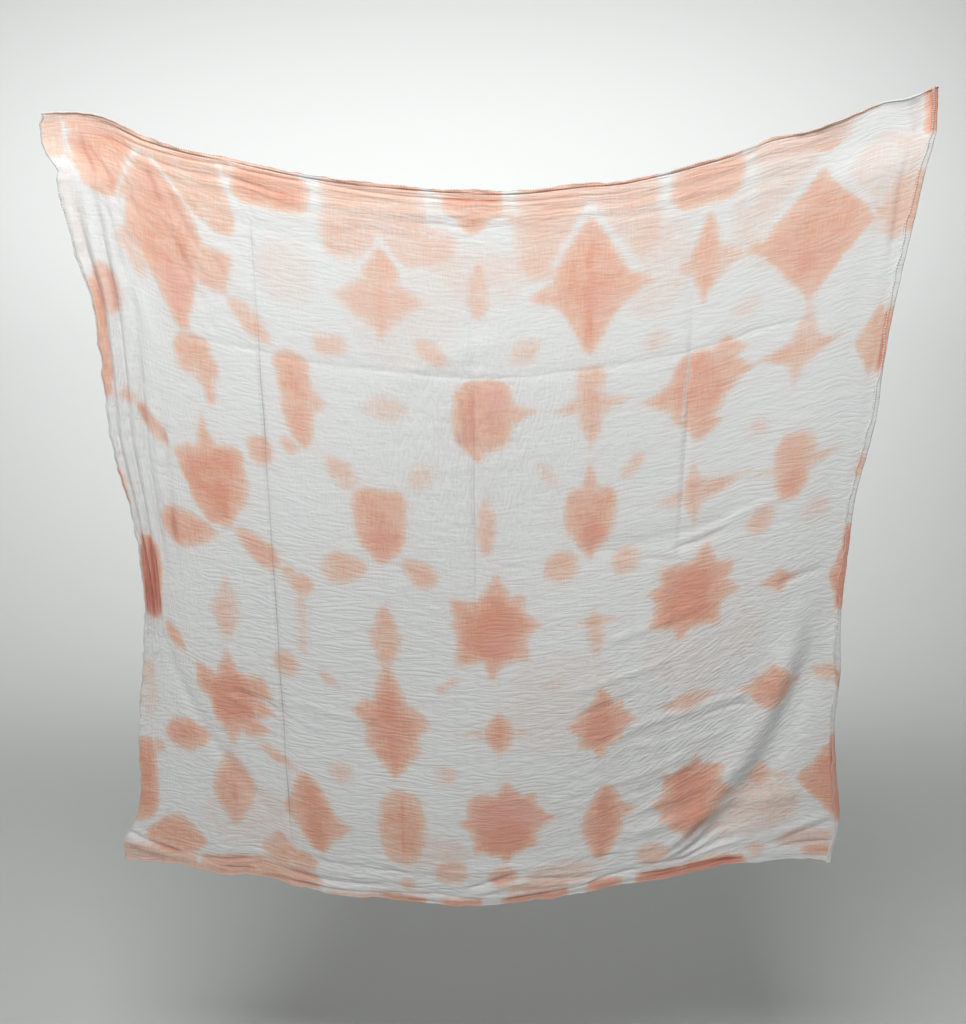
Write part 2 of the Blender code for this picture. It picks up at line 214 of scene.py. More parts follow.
# Small sharp folds, in the same columns, that only this finer mesh can hold.
SHARP_FOLDS = (
    # The roll of the top edge and the lines under it.
    (0.050, 0.020, 0.250, 0.010, 0.000, 0.0026, -0.0014, 0.0),
    (0.080, 0.032, 0.270, 0.020, 0.002, 0.0026, -0.0012, 0.0),
    (0.052, 0.040, 0.262, 0.050, 0.004, 0.0032, -0.0009, 0.0),
    (0.255, 0.010, 0.350, 0.012, 0.000, 0.0024, -0.0015, 0.0),
    (0.262, 0.024, 0.355, 0.022, 0.001, 0.0024, -0.0013, 0.0),
    (0.250, 0.044, 0.346, 0.056, 0.001, 0.0030, -0.0010, 0.0),
    (0.255, 0.058, 0.312, 0.066, 0.000, 0.0028, -0.0007, 0.0),
    (0.340, 0.013, 0.440, 0.012, 0.000, 0.0024, -0.0010, 0.0),
    (0.430, 0.010, 0.560, 0.010, 0.000, 0.0024, -0.0014, 0.0),
    (0.365, 0.020, 0.650, 0.028, 0.004, 0.0040, -0.0013, 0.0),
    (0.368, 0.032, 0.470, 0.040, 0.001, 0.0028, -0.0007, 0.0),
    (0.560, 0.012, 0.700, 0.014, 0.000, 0.0024, -0.0013, 0.0),
    (0.690, 0.012, 0.890, 0.008, 0.000, 0.0024, -0.0015, 0.0),
    (0.580, 0.030, 0.780, 0.032, 0.001, 0.0032, -0.0011, 0.0),
    (0.640, 0.052, 0.715, 0.054, 0.000, 0.0030, -0.0007, 0.0),
    (0.815, 0.028, 0.870, 0.030, 0.000, 0.0028, -0.0007, 0.0),
    (0.890, 0.008, 1.046, 0.010, 0.002, 0.0024, -0.0013, 0.0),
    (0.944, 0.020, 1.044, 0.022, 0.000, 0.0028, -0.0008, 0.0),
    (0.240, 0.112, 0.420, 0.128, -0.004, 0.0040, -0.0005, 0.0),
    (0.400, 0.084, 0.480, 0.096, 0.000, 0.0034, -0.0005, 0.0),
    (0.430, 0.070, 0.620, 0.074, 0.003, 0.0034, -0.0004, 0.0),
    (0.700, 0.070, 0.860, 0.066, 0.003, 0.0034, -0.0004, 0.0),
    # The bunched corner beside the right pin.
    (1.083, 0.012, 1.086, 0.076, 0.001, 0.0040, -0.0047, 0.0),
    (1.078, 0.080, 1.084, 0.240, 0.003, 0.0034, -0.0012, 0.0),
    # Beside the turned strip.
    (1.098, 0.290, 1.099, 0.385, 0.000, 0.0022, -0.0017, 0.0),
    (1.098, 0.590, 1.099, 0.715, 0.000, 0.0022, -0.0017, 0.0),
    (1.098, 0.900, 1.099, 1.060, 0.000, 0.0022, -0.0014, 0.0),
    # Down the leaning diamond by the left pin.
    (0.060, 0.060, 0.092, 0.126, 0.000, 0.0040, -0.0009, 0.0),
    (0.052, 0.046, 0.060, 0.110, 0.000, 0.0040, -0.0011, 0.0),
    (0.140, 0.064, 0.156, 0.112, 0.000, 0.0040, -0.0009, 0.0),
    (0.150, 0.072, 0.190, 0.158, 0.003, 0.0036, 0.0007, 0.0),
    (0.166, 0.080, 0.215, 0.170, 0.003, 0.0030, -0.0008, 0.0),
    (0.162, 0.118, 0.224, 0.200, -0.002, 0.0036, 0.0006, 0.0),
    (0.150, 0.122, 0.196, 0.196, -0.002, 0.0030, -0.0006, 0.0),
    (0.176, 0.154, 0.200, 0.224, 0.002, 0.0030, -0.0006, 0.0),
    (0.205, 0.120, 0.250, 0.196, 0.000, 0.0036, 0.0006, 0.0),
    (0.218, 0.150, 0.262, 0.222, 0.000, 0.0030, -0.0006, 0.0),
    (0.236, 0.150, 0.286, 0.220, 0.000, 0.0045, 0.0007, 0.0),
    # Among the pleats of the left side.
    (0.072, 0.138, 0.082, 0.234, 0.000, 0.0040, -0.0031, 0.0),
    (0.056, 0.128, 0.054, 0.420, 0.000, 0.0042, -0.0036, 0.0),
    (0.022, 0.150, 0.024, 0.420, 0.000, 0.0040, -0.0027, 0.0),
    (0.090, 0.300, 0.086, 0.620, 0.002, 0.0045, -0.0031, 0.0),
    (0.052, 0.420, 0.052, 0.720, 0.000, 0.0040, -0.0039, 0.0),
    (0.022, 0.440, 0.024, 0.760, 0.000, 0.0040, -0.0031, 0.0),
    (0.128, 0.380, 0.122, 0.640, 0.002, 0.0050, -0.0016, 0.0),
    (0.034, 0.626, 0.060, 0.800, 0.004, 0.0050, -0.0022, 0.0),
    (0.008, 0.560, 0.016, 0.700, 0.000, 0.0026, -0.0050, 0.0),
    (0.030, 0.580, 0.044, 0.750, 0.000, 0.0026, -0.0050, 0.0),
    (0.064, 0.600, 0.062, 0.740, 0.000, 0.0024, -0.0040, 0.0),
    # Beside the press folds.
    (0.544, 0.312, 0.552, 0.392, 0.000, 0.0028, -0.0008, 0.0),
    (0.534, 0.352, 0.548, 0.400, 0.000, 0.0028, -0.0016, 0.0),
    (0.548, 0.392, 0.556, 0.490, 0.000, 0.0040, 0.0010, 0.0),
    (0.574, 0.284, 0.578, 0.452, 0.000, 0.0040, 0.0014, 0.0),
    (0.274, 0.080, 0.274, 1.040, 0.000, 0.0045, 0.0016, 0.0),
    (0.834, 0.220, 0.834, 0.600, 0.000, 0.0045, 0.0014, 0.0),
    (0.790, 0.566, 0.834, 0.576, 0.000, 0.0040, -0.0016, 0.0),
    (0.834, 0.552, 0.976, 0.520, 0.004, 0.0048, 0.0014, 0.0),
    (0.834, 0.562, 0.900, 0.552, 0.000, 0.0040, -0.0017, 0.0),
    (0.980, 0.652, 1.060, 0.648, -0.003, 0.0045, -0.0020, 0.0),
    # The lower half.
    (0.765, 0.836, 0.976, 0.821, -0.003, 0.0040, 0.0012, 0.2),
    (0.800, 0.860, 0.945, 0.838, -0.004, 0.0034, -0.0009, 0.0),
    (0.724, 0.872, 0.948, 0.886, -0.006, 0.0050, 0.0010, 0.0),
    (0.738, 0.688, 0.874, 0.654, 0.004, 0.0060, 0.0014, 0.0),
    (0.684, 0.760, 0.852, 0.728, 0.004, 0.0060, 0.0016, 0.0),
    (0.700, 0.800, 0.800, 0.780, 0.000, 0.0045, -0.0013, 0.0),
    (0.762, 0.930, 0.888, 0.888, 0.006, 0.0060, 0.0017, 0.0),
    (0.780, 0.955, 0.900, 0.915, 0.006, 0.0050, -0.0015, 0.0),
    (0.806, 0.984, 0.948, 0.940, 0.006, 0.0060, 0.0019, 0.0),
    (0.744, 0.862, 0.800, 0.832, 0.002, 0.0045, 0.0015, 0.0),
    (0.778, 0.998, 0.856, 0.962, 0.002, 0.0050, 0.0016, 0.0),
    (0.800, 1.024, 0.900, 0.996, 0.004, 0.0050, 0.0016, 0.0),
    (0.188, 0.802, 0.250, 0.836, 0.000, 0.0050, 0.0015, 0.0),
    (0.205, 0.792, 0.300, 0.826, 0.000, 0.0045, -0.0014, 0.0),
    (0.388, 0.775, 0.430, 0.815, 0.002, 0.0050, 0.0013, 0.0),
    (0.300, 0.790, 0.420, 0.806, 0.003, 0.0055, 0.0012, 0.0),
    # Ridges that fan out from the foot of the trough.
    (0.810, 1.110, 0.970, 1.112, 0.000, 0.0020, -0.0016, 0.0),
    (0.845, 1.068, 0.890, 1.010, 0.003, 0.0040, 0.0020, 0.0),
    (0.852, 1.074, 0.904, 1.022, 0.003, 0.0036, -0.0019, 0.0),
    (0.850, 1.080, 0.916, 1.034, 0.003, 0.0040, 0.0025, 0.0),
    (0.858, 1.084, 0.928, 1.044, 0.003, 0.0036, -0.0022, 0.0),
    (0.862, 1.088, 0.944, 1.054, 0.002, 0.0040, 0.0025, 0.0),
    (0.868, 1.092, 0.954, 1.066, 0.002, 0.0036, -0.0020, 0.0),
    (0.872, 1.094, 0.966, 1.076, 0.001, 0.0040, 0.0022, 0.0),
    # The ledges and rolls of the hem.
    (0.000, 1.066, 0.100, 1.097, 0.004, 0.0030, -0.0025, 0.0),
    (0.124, 1.096, 0.212, 1.088, 0.000, 0.0034, -0.0013, 0.0),
    (0.160, 1.106, 0.216, 1.106, 0.000, 0.0024, -0.0017, 0.0),
    (0.264, 1.094, 0.410, 1.097, 0.001, 0.0034, -0.0019, 0.0),
    (0.250, 1.111, 0.450, 1.110, 0.000, 0.0024, -0.0020, 0.0),
    (0.414, 1.108, 0.500, 1.103, 0.000, 0.0026, -0.0023, 0.0),
    (0.490, 1.100, 0.590, 1.110, 0.000, 0.0026, -0.0020, 0.0),
    (0.538, 1.090, 0.618, 1.066, 0.000, 0.0034, -0.0026, 0.0),
    (0.550, 1.098, 0.650, 1.078, 0.000, 0.0070, 0.0023, 0.3),
    (0.622, 1.073, 0.742, 1.094, 0.000, 0.0034, -0.0019, 0.0),
    (0.626, 1.088, 0.752, 1.101, 0.000, 0.0065, 0.0022, 0.6),
    (0.596, 1.111, 0.720, 1.106, 0.001, 0.0024, -0.0025, 0.0),
    (0.720, 1.106, 0.812, 1.092, 0.000, 0.0024, -0.0023, 0.0),
    (0.806, 1.104, 0.870, 1.106, 0.000, 0.0024, -0.0025, 0.0),
    (0.866, 1.105, 0.960, 1.110, 0.000, 0.0024, -0.0020, 0.0),
    (0.800, 1.086, 0.884, 1.090, 0.000, 0.0036, -0.0018, 0.0),
    (1.000, 1.080, 1.090, 1.040, 0.000, 0.0070, 0.0018, 0.3),
    (1.008, 1.088, 1.096, 1.049, 0.001, 0.0030, -0.0016, 0.0),
    (1.012, 1.098, 1.100, 1.085, 0.000, 0.0028, -0.0019, 0.0),
    (0.300, 1.060, 0.460, 1.068, 0.001, 0.0036, -0.0011, 0.0),
    (0.420, 1.050, 0.560, 1.046, 0.001, 0.0036, -0.0010, 0.0),
    (0.660, 1.050, 0.790, 1.062, 0.001, 0.0036, -0.0011, 0.0),
)

# The sharp lines left where the cloth lay folded: where, from and to, and wear,
# for the upright ones and then the level ones.
PRESS_LINES = (
    ((CUT / 4, 0.10, 1.04, 0.9), (CUT / 2, 0.26, 0.64, 0.45), (CUT * 3 / 4, 0.24, 0.56, 0.28)),
    ((CUT / 4, 0.14, 1.02, 0.15), (CUT / 2, 0.70, 1.02, 0.12), (CUT * 3 / 4, 0.66, 1.00, 0.10)),
)
PRESS_LINE = (0.0022, -0.0040)

# Fine crinkle, as sharp little ridges: across, down, half width and half length
# of the place, angle the ridges drop to the right, ridge length, spacing, height.
CRINKLES = (
    (0.56, 0.62, 0.90, 0.70, 2, 0.033, 0.0085, 0.00042),
    (0.60, 0.96, 0.44, 0.20, -4, 0.029, 0.0093, 0.00072),
    (0.84, 0.84, 0.22, 0.24, -18, 0.033, 0.0102, 0.00048),
    (0.96, 0.98, 0.12, 0.14, -48, 0.029, 0.0093, 0.00068),
    (1.00, 0.92, 0.10, 0.10, -10, 0.029, 0.0085, 0.00056),
    (0.58, 0.40, 0.18, 0.16, 88, 0.039, 0.0102, 0.00060),
    (0.30, 0.40, 0.16, 0.20, 84, 0.039, 0.0102, 0.00036),
    (0.20, 0.15, 0.10, 0.12, 60, 0.036, 0.0085, 0.00096),
    (0.08, 0.12, 0.07, 0.08, 42, 0.033, 0.0085, 0.00084),
    (0.08, 0.48, 0.08, 0.34, 91, 0.052, 0.0102, 0.00084),
    (0.60, 0.06, 0.62, 0.06, 1, 0.039, 0.0068, 0.00045),
    (0.50, 1.07, 0.62, 0.05, 0, 0.029, 0.0076, 0.00110),
    (0.22, 0.82, 0.10, 0.10, 20, 0.029, 0.0093, 0.00084),
    (0.46, 0.66, 0.10, 0.12, 50, 0.026, 0.0085, 0.00054),
)

# The dye was laid on the folded cloth, so its marks repeat on a grid of folds.
FOLD_WIDE = 0.14
FOLD_HIGH = 0.16

# Marks: column, row, half width and half height in mm, power of the outline
# (under 1 a hollow star, 1 a diamond, 2 an oval, 4 a block), tilt in degrees,
# taper (above 0 narrows to the foot), strength of the dye, softness of the outline in mm.
MARKS = (
    # Row 0
    (0.52, 0.50, 44, 50, 2.2, -18, 0, 0.85, 3),
    (0.60, 0.28, 46, 26, 4, 4, 0, 0.85, 2.5),
    (0.10, 0.30, 14, 34, 4, 0, 0, 0.55, 3),
    (1.00, 0.14, 116, 22, 6, 2, 0, 0.66, 2.5),
    (1.52, 0.44, 38, 46, 4, -12, 0, 0.60, 3),
    (1.36, 0.30, 42, 30, 3, 0, 0, 0.60, 3),
    (1.70, 0.66, 18, 26, 3, 0, 0, 0.62, 3),
    (2.19, 0.29, 50, 34, 4, 0, 0, 0.95, 3),
    (3.05, 0.22, 64, 30, 6, 0, 0, 0.50, 3),
    (3.99, 0.20, 38, 28, 4, 0, 0, 0.85, 3),
    (3.99, 0.33, 22, 31, 1.6, 0, 0, 0.85, 3),
    (6.06, 0.29, 43, 37, 3.5, 0, 0, 0.80, 4),
    (6.03, 0.35, 22, 26, 1.8, 0, 0, 0.85, 4),
    (7.06, 0.29, 18, 14, 1.1, 0, 0, 0.50, 3),
    # Row 1
    (1.12, 0.97, 54, 114, 1.15, -11, 0.30, 0.90, 3),
    (1.16, 1.30, 24, 60, 1.2, -8, 0.1, 1.00, 5),
    (1.56, 1.12, 34, 34, 1.1, -30, 0, 0.62, 4),
    (0.80, 1.14, 30, 40, 1.2, 0, 0, 0.38, 5),
    (3.14, 1.15, 55, 51, 0.9, 0, 0, 0.45, 5),
    (3.15, 1.09, 13, 62, 1.2, 1, 0, 0.80, 3),
    (3.16, 0.90, 23, 30, 1.3, 0, 0, 0.75, 3),
    (5.06, 1.02, 50, 94, 1.1, -1, 0, 0.90, 1.6),
    (5.06, 1.06, 22, 84, 1.6, -1, 0, 1.06, 5),
    (5.08, 1.08, 84, 62, 0.8, -2, 0, 0.76, 3),
    (7.02, 1.05, 88, 94, 0.78, 0, -0.18, 0.88, 1.6),
    (6.96, 1.22, 30, 40, 1.4, 0, 0.2, 1.00, 6),
    (6.09, 0.99, 19, 58, 1.1, 1, 0, 0.88, 3),
    (6.13, 1.04, 46, 38, 0.8, 0, 0, 0.55, 4),
    (4.04, 1.02, 14, 36, 1.6, 0, -0.2, 0.48, 4),
    (7.73, 1.02, 23, 40, 1.6, 0, 0, 0.45, 5),
    (7.64, 1.09, 34, 9, 1.2, 0, 0, 0.40, 4),
    (0.31, 1.57, 30, 31, 1.7, 0, 0, 0.60, 4),
    # Row 1.5
    (1.92, 1.50, 13, 34, 1.8, -46, 0, 0.48, 4),
    (2.67, 1.57, 20, 13, 3, 0, 0, 0.42, 4),
    (3.61, 1.56, 13, 22, 1.8, -52, 0, 0.34, 5),
    (4.47, 1.54, 14, 20, 1.6, 60, 0, 0.34, 5),
    (5.69, 1.60, 15, 15, 2, 0, 0, 0.20, 5),
    (6.47, 1.51, 17, 12, 2, 0, 0, 0.16, 5),
    # Row 2
    (1.31, 1.89, 27, 26, 2.6, 0, 0, 0.70, 3.5),
    (1.43, 1.99, 18, 21, 2, 0, 0, 0.65, 3.5),
    (1.46, 2.11, 8, 29, 1.5, 0, 0, 0.55, 3),
    (2.34, 2.10, 20, 60, 2.4, -5, 0.30, 0.85, 3),
    (2.30, 1.80, 24, 18, 1.6, 0, 0, 0.78, 3),
    (2.47, 2.08, 19, 21, 1, 0, 0, 0.50, 4),
    (2.24, 2.49, 11, 10, 2, 0, 0, 0.40, 4),
    (1.94, 2.60, 16, 18, 2.5, 0, 0, 0.60, 3),
    (0.41, 2.44, 19, 10, 2, 0, 0, 0.35, 4),
    (0.73, 2.61, 13, 34, 1.6, -56, 0, 0.60, 3),
    (3.16, 2.07, 26, 18, 1.4, 0, 0, 0.26, 6),
    (4.08, 2.08, 37, 48, 3.4, 0, 0, 0.84, 3),
    (3.98, 2.10, 14, 46, 2, -2, 0, 0.98, 5),
    (4.18, 2.06, 52, 28, 0.9, 0, 0, 0.70, 3.5),
    (4.04, 2.39, 11, 16, 1, 0, 0, 0.60, 3),
    (5.10, 2.08, 17, 52, 1.1, -2, 0, 0.78, 3.5),
    (5.09, 1.85, 18, 20, 2.6, 0, 0, 0.55, 4),
    (5.10, 2.06, 46, 24, 0.85, -3, 0, 0.55, 4),
    (6.10, 2.09, 36, 50, 2.8, 10, 0.12, 0.88, 3),
    (6.14, 2.40, 22, 24, 1, 8, 0, 0.80, 3),
    (6.30, 1.84, 24, 22, 1, 0, 0, 0.75, 3),
    (5.84, 2.12, 32, 22, 0.95, 0, 0, 0.70, 3),
    (6.36, 2.04, 28, 24, 0.95, 0, 0, 0.75, 3),
    (7.02, 1.90, 17, 48, 1.1, 5, -0.45, 0.52, 3.5),
    (6.99, 2.00, 47, 21, 0.9, -4, 0, 0.74, 3.5),
    (6.98, 2.10, 14, 22, 1.0, 4, 0.4, 0.60, 4),
    (7.73, 2.08, 27, 44, 1, 0, 0, 0.65, 3),
    # Row 2.5
    (2.73, 2.67, 14, 24, 1.6, -40, -0.1, 0.40, 5),
    (3.49, 2.63, 13, 21, 1.6, 35, 0, 0.28, 6),
    (4.70, 2.63, 8, 21, 2, -35, 0, 0.22, 5),
    (5.51, 2.66, 8, 19, 2, 39, 0, 0.28, 5),
    (6.66, 2.60, 13, 13, 2, 0, 0, 0.13, 6),
    # Row 3
    (1.42, 3.00, 41, 55, 5, -8, 0.45, 0.88, 2.5),
    (1.50, 3.10, 20, 40, 1.6, -8, 0.2, 1.02, 6),
    (1.68, 2.95, 15, 36, 2.0, 0, 0, 0.80, 3),
    (1.38, 2.68, 16, 40, 1, -6, -0.3, 0.80, 3.5),
    (1.06, 3.45, 25, 50, 2, 86, -0.35, 0.78, 3.5),
    (1.85, 3.51, 15, 36, 2, -52, -0.25, 0.72, 3.5),
    (0.28, 4.04, 36, 61, 3.4, 8, 0, 0.85, 2.5),
    (3.09, 3.05, 33, 42, 5, 0, 0.06, 0.80, 3),
    (3.10, 3.24, 29, 36, 1.2, 0, 0, 0.94, 3),
    (2.72, 3.54, 21, 28, 1.9, 82, -0.30, 0.52, 4),
    (3.46, 3.52, 16, 25, 1.8, -56, -0.30, 0.52, 4),
    (4.11, 3.07, 11, 39, 1.6, -1, 0, 0.50, 4),
    (4.11, 2.96, 12, 13, 1.4, 0, 0, 0.50, 3),
    (5.13, 3.03, 33, 38, 3.4, 0, 0.05, 0.80, 3),
    (5.14, 3.20, 26, 36, 1.2, 0, 0, 0.98, 3),
    (5.12, 2.80, 12, 30, 1, -2, 0, 0.72, 3),
    (6.10, 3.02, 13, 40, 1, -3, 0, 0.70, 3.5),
    (6.19, 3.01, 48, 18, 0.85, -4, 0, 0.55, 4),
    (5.94, 3.05, 27, 9, 1, 0, 0, 0.30, 4),
    (7.05, 2.92, 27, 34, 2.2, 2, 0, 0.58, 4),
    (7.10, 3.00, 54, 16, 0.9, -6, 0, 0.42, 4),
    (7.04, 3.12, 21, 26, 1.8, 6, 0, 0.88, 4),
    # Row 3.5
    (2.16, 3.67, 9, 10, 2, 0, 0, 0.38, 4),
    (2.29, 3.78, 16, 18, 1.4, 0, 0.3, 0.62, 3),
    (2.27, 4.14, 8, 48, 2, 2, 0, 0.20, 6),
    (4.86, 3.50, 22, 22, 2.5, 0, 0, 0.42, 4),
    (5.49, 3.53, 18, 19, 2, 0, 0, 0.38, 5),
    (6.76, 3.44, 14, 22, 2, 30, 0, 0.32, 5),
    (7.36, 3.46, 25, 15, 2, 0, 0, 0.20, 6),
    (0.71, 4.56, 12, 26, 1.6, -53, 0, 0.65, 3),
    # Row 4
    (1.45, 4.17, 21, 46, 1.1, 4, 0, 0.32, 6),
    (1.44, 4.26, 15, 26, 1.6, 0, 0, 0.45, 4),
    (3.11, 4.20, 19, 48, 1.3, -1, 0, 0.60, 4),
    (3.11, 4.17, 23, 21, 1.2, 0, 0, 0.55, 4),
    (4.20, 4.08, 38, 46, 3.4, 0, 0, 0.96, 3),
    (4.16, 4.06, 72, 72, 0.9, 40, 0, 0.84, 3),
    (4.04, 4.06, 30, 44, 3, 0, 0, 0.74, 3),
    (4.20, 4.02, 64, 82, 0.84, 2, 0, 0.88, 3),
    (5.23, 4.07, 24, 9, 0.9, 0, 0, 0.42, 3.5),
    (5.22, 4.08, 12, 12, 1.4, 0, 0, 0.62, 4),
    (5.22, 4.18, 10, 36, 1.2, -4, 0, 0.36, 4),
    (6.14, 4.00, 38, 50, 3, 12, 0, 0.94, 3),
    (6.14, 4.00, 66, 66, 0.9, 54, 0, 0.84, 3),
    (6.16, 3.98, 62, 74, 0.84, 12, 0, 0.84, 3),
    (7.01, 4.04, 26, 15, 0.9, -8, 0, 0.66, 3),
    (7.83, 4.11, 26, 48, 1, 0, 0, 0.85, 2.5),
    (0.14, 4.98, 21, 18, 2, 0, 0, 0.20, 5),
    # Row 4.5
    (2.07, 4.59, 16, 18, 2, 0, 0, 0.50, 4),
    (2.51, 4.66, 6, 18, 2, -43, 0, 0.32, 4),
    (3.71, 4.62, 6, 18, 2, 45, 0, 0.32, 4),
    (4.81, 4.64, 16, 10, 2, 0, 0, 0.16, 5),
    # Row 5
    (1.44, 5.08, 37, 46, 2.8, -6, 0.08, 0.90, 3),
    (1.41, 4.80, 17, 36, 1, 2, 0, 0.80, 3),
    (1.16, 4.92, 22, 34, 1.1, -34, 0, 0.80, 3),
    (1.72, 4.92, 26, 22, 1.1, 30, 0, 0.72, 3),
    (1.74, 5.14, 22, 14, 1.0, 0, 0, 0.68, 3),
    (1.64, 5.34, 26, 17, 1.2, 0, 0, 0.78, 3),
    (1.41, 5.34, 20, 31, 1, 0, 0, 0.80, 3),
    (0.80, 5.53, 25, 43, 1.7, 80, -0.1, 0.82, 3),
    (0.34, 5.73, 14, 10, 2, 0, 0, 0.38, 4),
    (3.13, 5.02, 30, 92, 1.1, -2, 0, 0.92, 3),
    (3.15, 5.12, 38, 36, 2.8, 0, 0, 0.88, 3),
    (3.14, 5.10, 58, 52, 0.9, 45, 0, 0.78, 3),
    (3.16, 5.36, 32, 40, 1, 0, 0, 0.84, 3),
    (2.90, 4.96, 22, 20, 1, 0, 0, 0.70, 3),
    (3.37, 5.04, 23, 24, 1, 0, 0, 0.60, 3),
    (4.26, 5.10, 21, 33, 1.3, 0, 0, 0.84, 3),
    (4.26, 5.10, 50, 16, 0.9, 0, 0, 0.30, 5),
    (5.30, 5.16, 28, 35, 2.6, 0, 0, 0.94, 3),
    (5.30, 5.14, 42, 46, 0.9, 42, 0, 0.80, 3),
    (5.30, 5.12, 50, 60, 0.84, 0, 0, 0.84, 3),
    (6.17, 5.05, 32, 14, 1.1, -8, 0, 0.48, 5),
    (7.03, 5.10, 31, 33, 1.6, 0, 0, 0.85, 3),
    (7.03, 5.09, 44, 23, 0.9, 0, 0, 0.80, 3),
    (7.69, 5.04, 23, 10, 2, 0, 0, 0.42, 4),
    # Row 5.5
    (1.91, 5.59, 7, 30, 1.8, -62, 0, 0.45, 4),
    (2.59, 5.62, 16, 17, 2, 0, 0, 0.22, 5),
    (3.70, 5.56, 16, 16, 2, 0, 0, 0.22, 5),
    # Row 6
    (0.11, 6.09, 26, 69, 4, 0, 0, 0.85, 3),
    (1.37, 6.03, 34, 60, 1.3, 0, 0, 0.72, 5),
    (1.38, 6.06, 18, 36, 1.5, 0, 0, 0.90, 7),
    (2.27, 6.12, 31, 70, 1.5, -9, 0, 0.86, 3),
    (2.48, 6.22, 28, 24, 1.0, 0, 0, 0.76, 3),
    (2.11, 6.11, 20, 26, 1.4, 0, 0, 0.75, 3),
    (3.23, 6.16, 33, 64, 2.2, 0, 0, 0.72, 4),
    (3.23, 6.16, 16, 60, 1.6, 0, 0, 0.90, 4),
    (4.32, 6.10, 46, 52, 3.0, 0, 0.06, 0.98, 3),
    (4.30, 6.08, 68, 66, 0.95, 42, 0, 0.86, 3),
    (4.12, 6.02, 26, 44, 3, 0, 0, 0.80, 3),
    (4.34, 6.07, 70, 72, 0.9, 0, 0, 0.86, 3),
    (5.37, 6.22, 29, 66, 1.5, 2, 0, 0.88, 3),
    (5.50, 6.12, 30, 20, 1.0, 0, 0, 0.66, 3),
    (6.27, 6.12, 36, 56, 2.8, 2, 0.08, 0.92, 3),
    (6.27, 6.08, 58, 58, 0.9, 46, 0, 0.82, 3),
    (6.29, 6.13, 60, 74, 0.88, 2, 0, 0.82, 3),
    (6.99, 6.05, 18, 20, 1.2, 0, 0, 0.60, 4),
    (7.21, 6.07, 11, 7, 1.2, 0, 0, 0.42, 3),
    (7.83, 6.13, 60, 64, 1, 0, 0, 0.86, 2.5),
    # Row 7
    (0.60, 6.67, 52, 36, 1.4, 0, 0, 0.75, 3),
    (0.40, 6.92, 62, 22, 6, 0, 0, 0.52, 3),
    (1.60, 6.90, 98, 22, 3, 0, 0, 0.64, 3),
    (1.87, 6.64, 31, 35, 1.2, 0, 0, 0.65, 3),
    (2.13, 6.69, 20, 18, 1.6, 0, 0, 0.70, 3),
    (3.74, 6.62, 23, 21, 2, 0, 0, 0.50, 4),
    (4.30, 6.67, 23, 18, 1.6, 0, 0, 0.60, 3),
    (4.69, 6.84, 46, 13, 4, 0, 0, 0.42, 3),
    (3.29, 6.80, 12, 11, 1.5, 0, 0, 0.55, 3),
    (5.91, 6.67, 23, 19, 2, 0, 0, 0.38, 4),
    (7.00, 6.84, 12, 12, 1.4, 0, 0, 0.38, 4),
    (7.54, 6.76, 44, 16, 2, 0, 0, 0.32, 5),
    (7.71, 6.89, 25, 10, 2, 0, 0, 0.80, 3),
    # Along the top edge
    (1.25, 0.00, 171, 12, 8, 0, 0, 0.62, 2),
    (3.11, 0.00, 59, 13, 8, 0, 0, 0.85, 2),
    (3.94, 0.00, 43, 14, 8, 0, 0, 0.95, 2),
    (5.01, 0.00, 84, 14, 8, 0, 0, 0.95, 2),
    (6.04, 0.00, 40, 12, 8, 0, 0, 0.85, 2),
    (6.96, 0.00, 69, 9, 8, 0, 0, 0.60, 2),
    # Along the hem
    (0.91, 7.00, 30, 10, 8, 0, 0, 0.70, 2),
    (2.75, 7.00, 50, 8, 8, 0, 0, 0.35, 3),
    (3.21, 7.00, 35, 11, 8, 0, 0, 0.88, 2),
    (3.84, 7.00, 30, 12, 8, 0, 0, 0.85, 2),
    (4.66, 7.00, 50, 13, 8, 0, 0, 0.88, 2),
    (5.41, 7.00, 25, 17, 8, 0, 0, 0.92, 2),
    (6.32, 7.00, 79, 19, 8, 0, 0, 0.95, 2),
    # Along the turned strip of the right edge
    (7.95, 0.20, 18, 50, 8, 0, 0, 1.20, 2),
    (7.95, 1.05, 18, 36, 6, 0, 0, 0.60, 3),
    (7.93, 2.12, 20, 40, 6, 0, 0, 0.85, 2),
    (7.93, 3.16, 16, 15, 4, 0, 0, 0.60, 2),
    (7.93, 4.06, 20, 62, 8, 0, 0, 0.95, 2),
    (7.95, 5.11, 16, 11, 4, 0, 0, 0.85, 2),
    (7.95, 6.11, 18, 72, 8, 0, 0, 0.90, 2),
    # Along the left edge
    (0.07, 1.97, 12, 75, 5, 4, -0.3, 0.85, 2.5),
    (0.02, 3.22, 6, 24, 6, 0, 0, 0.95, 2),
)

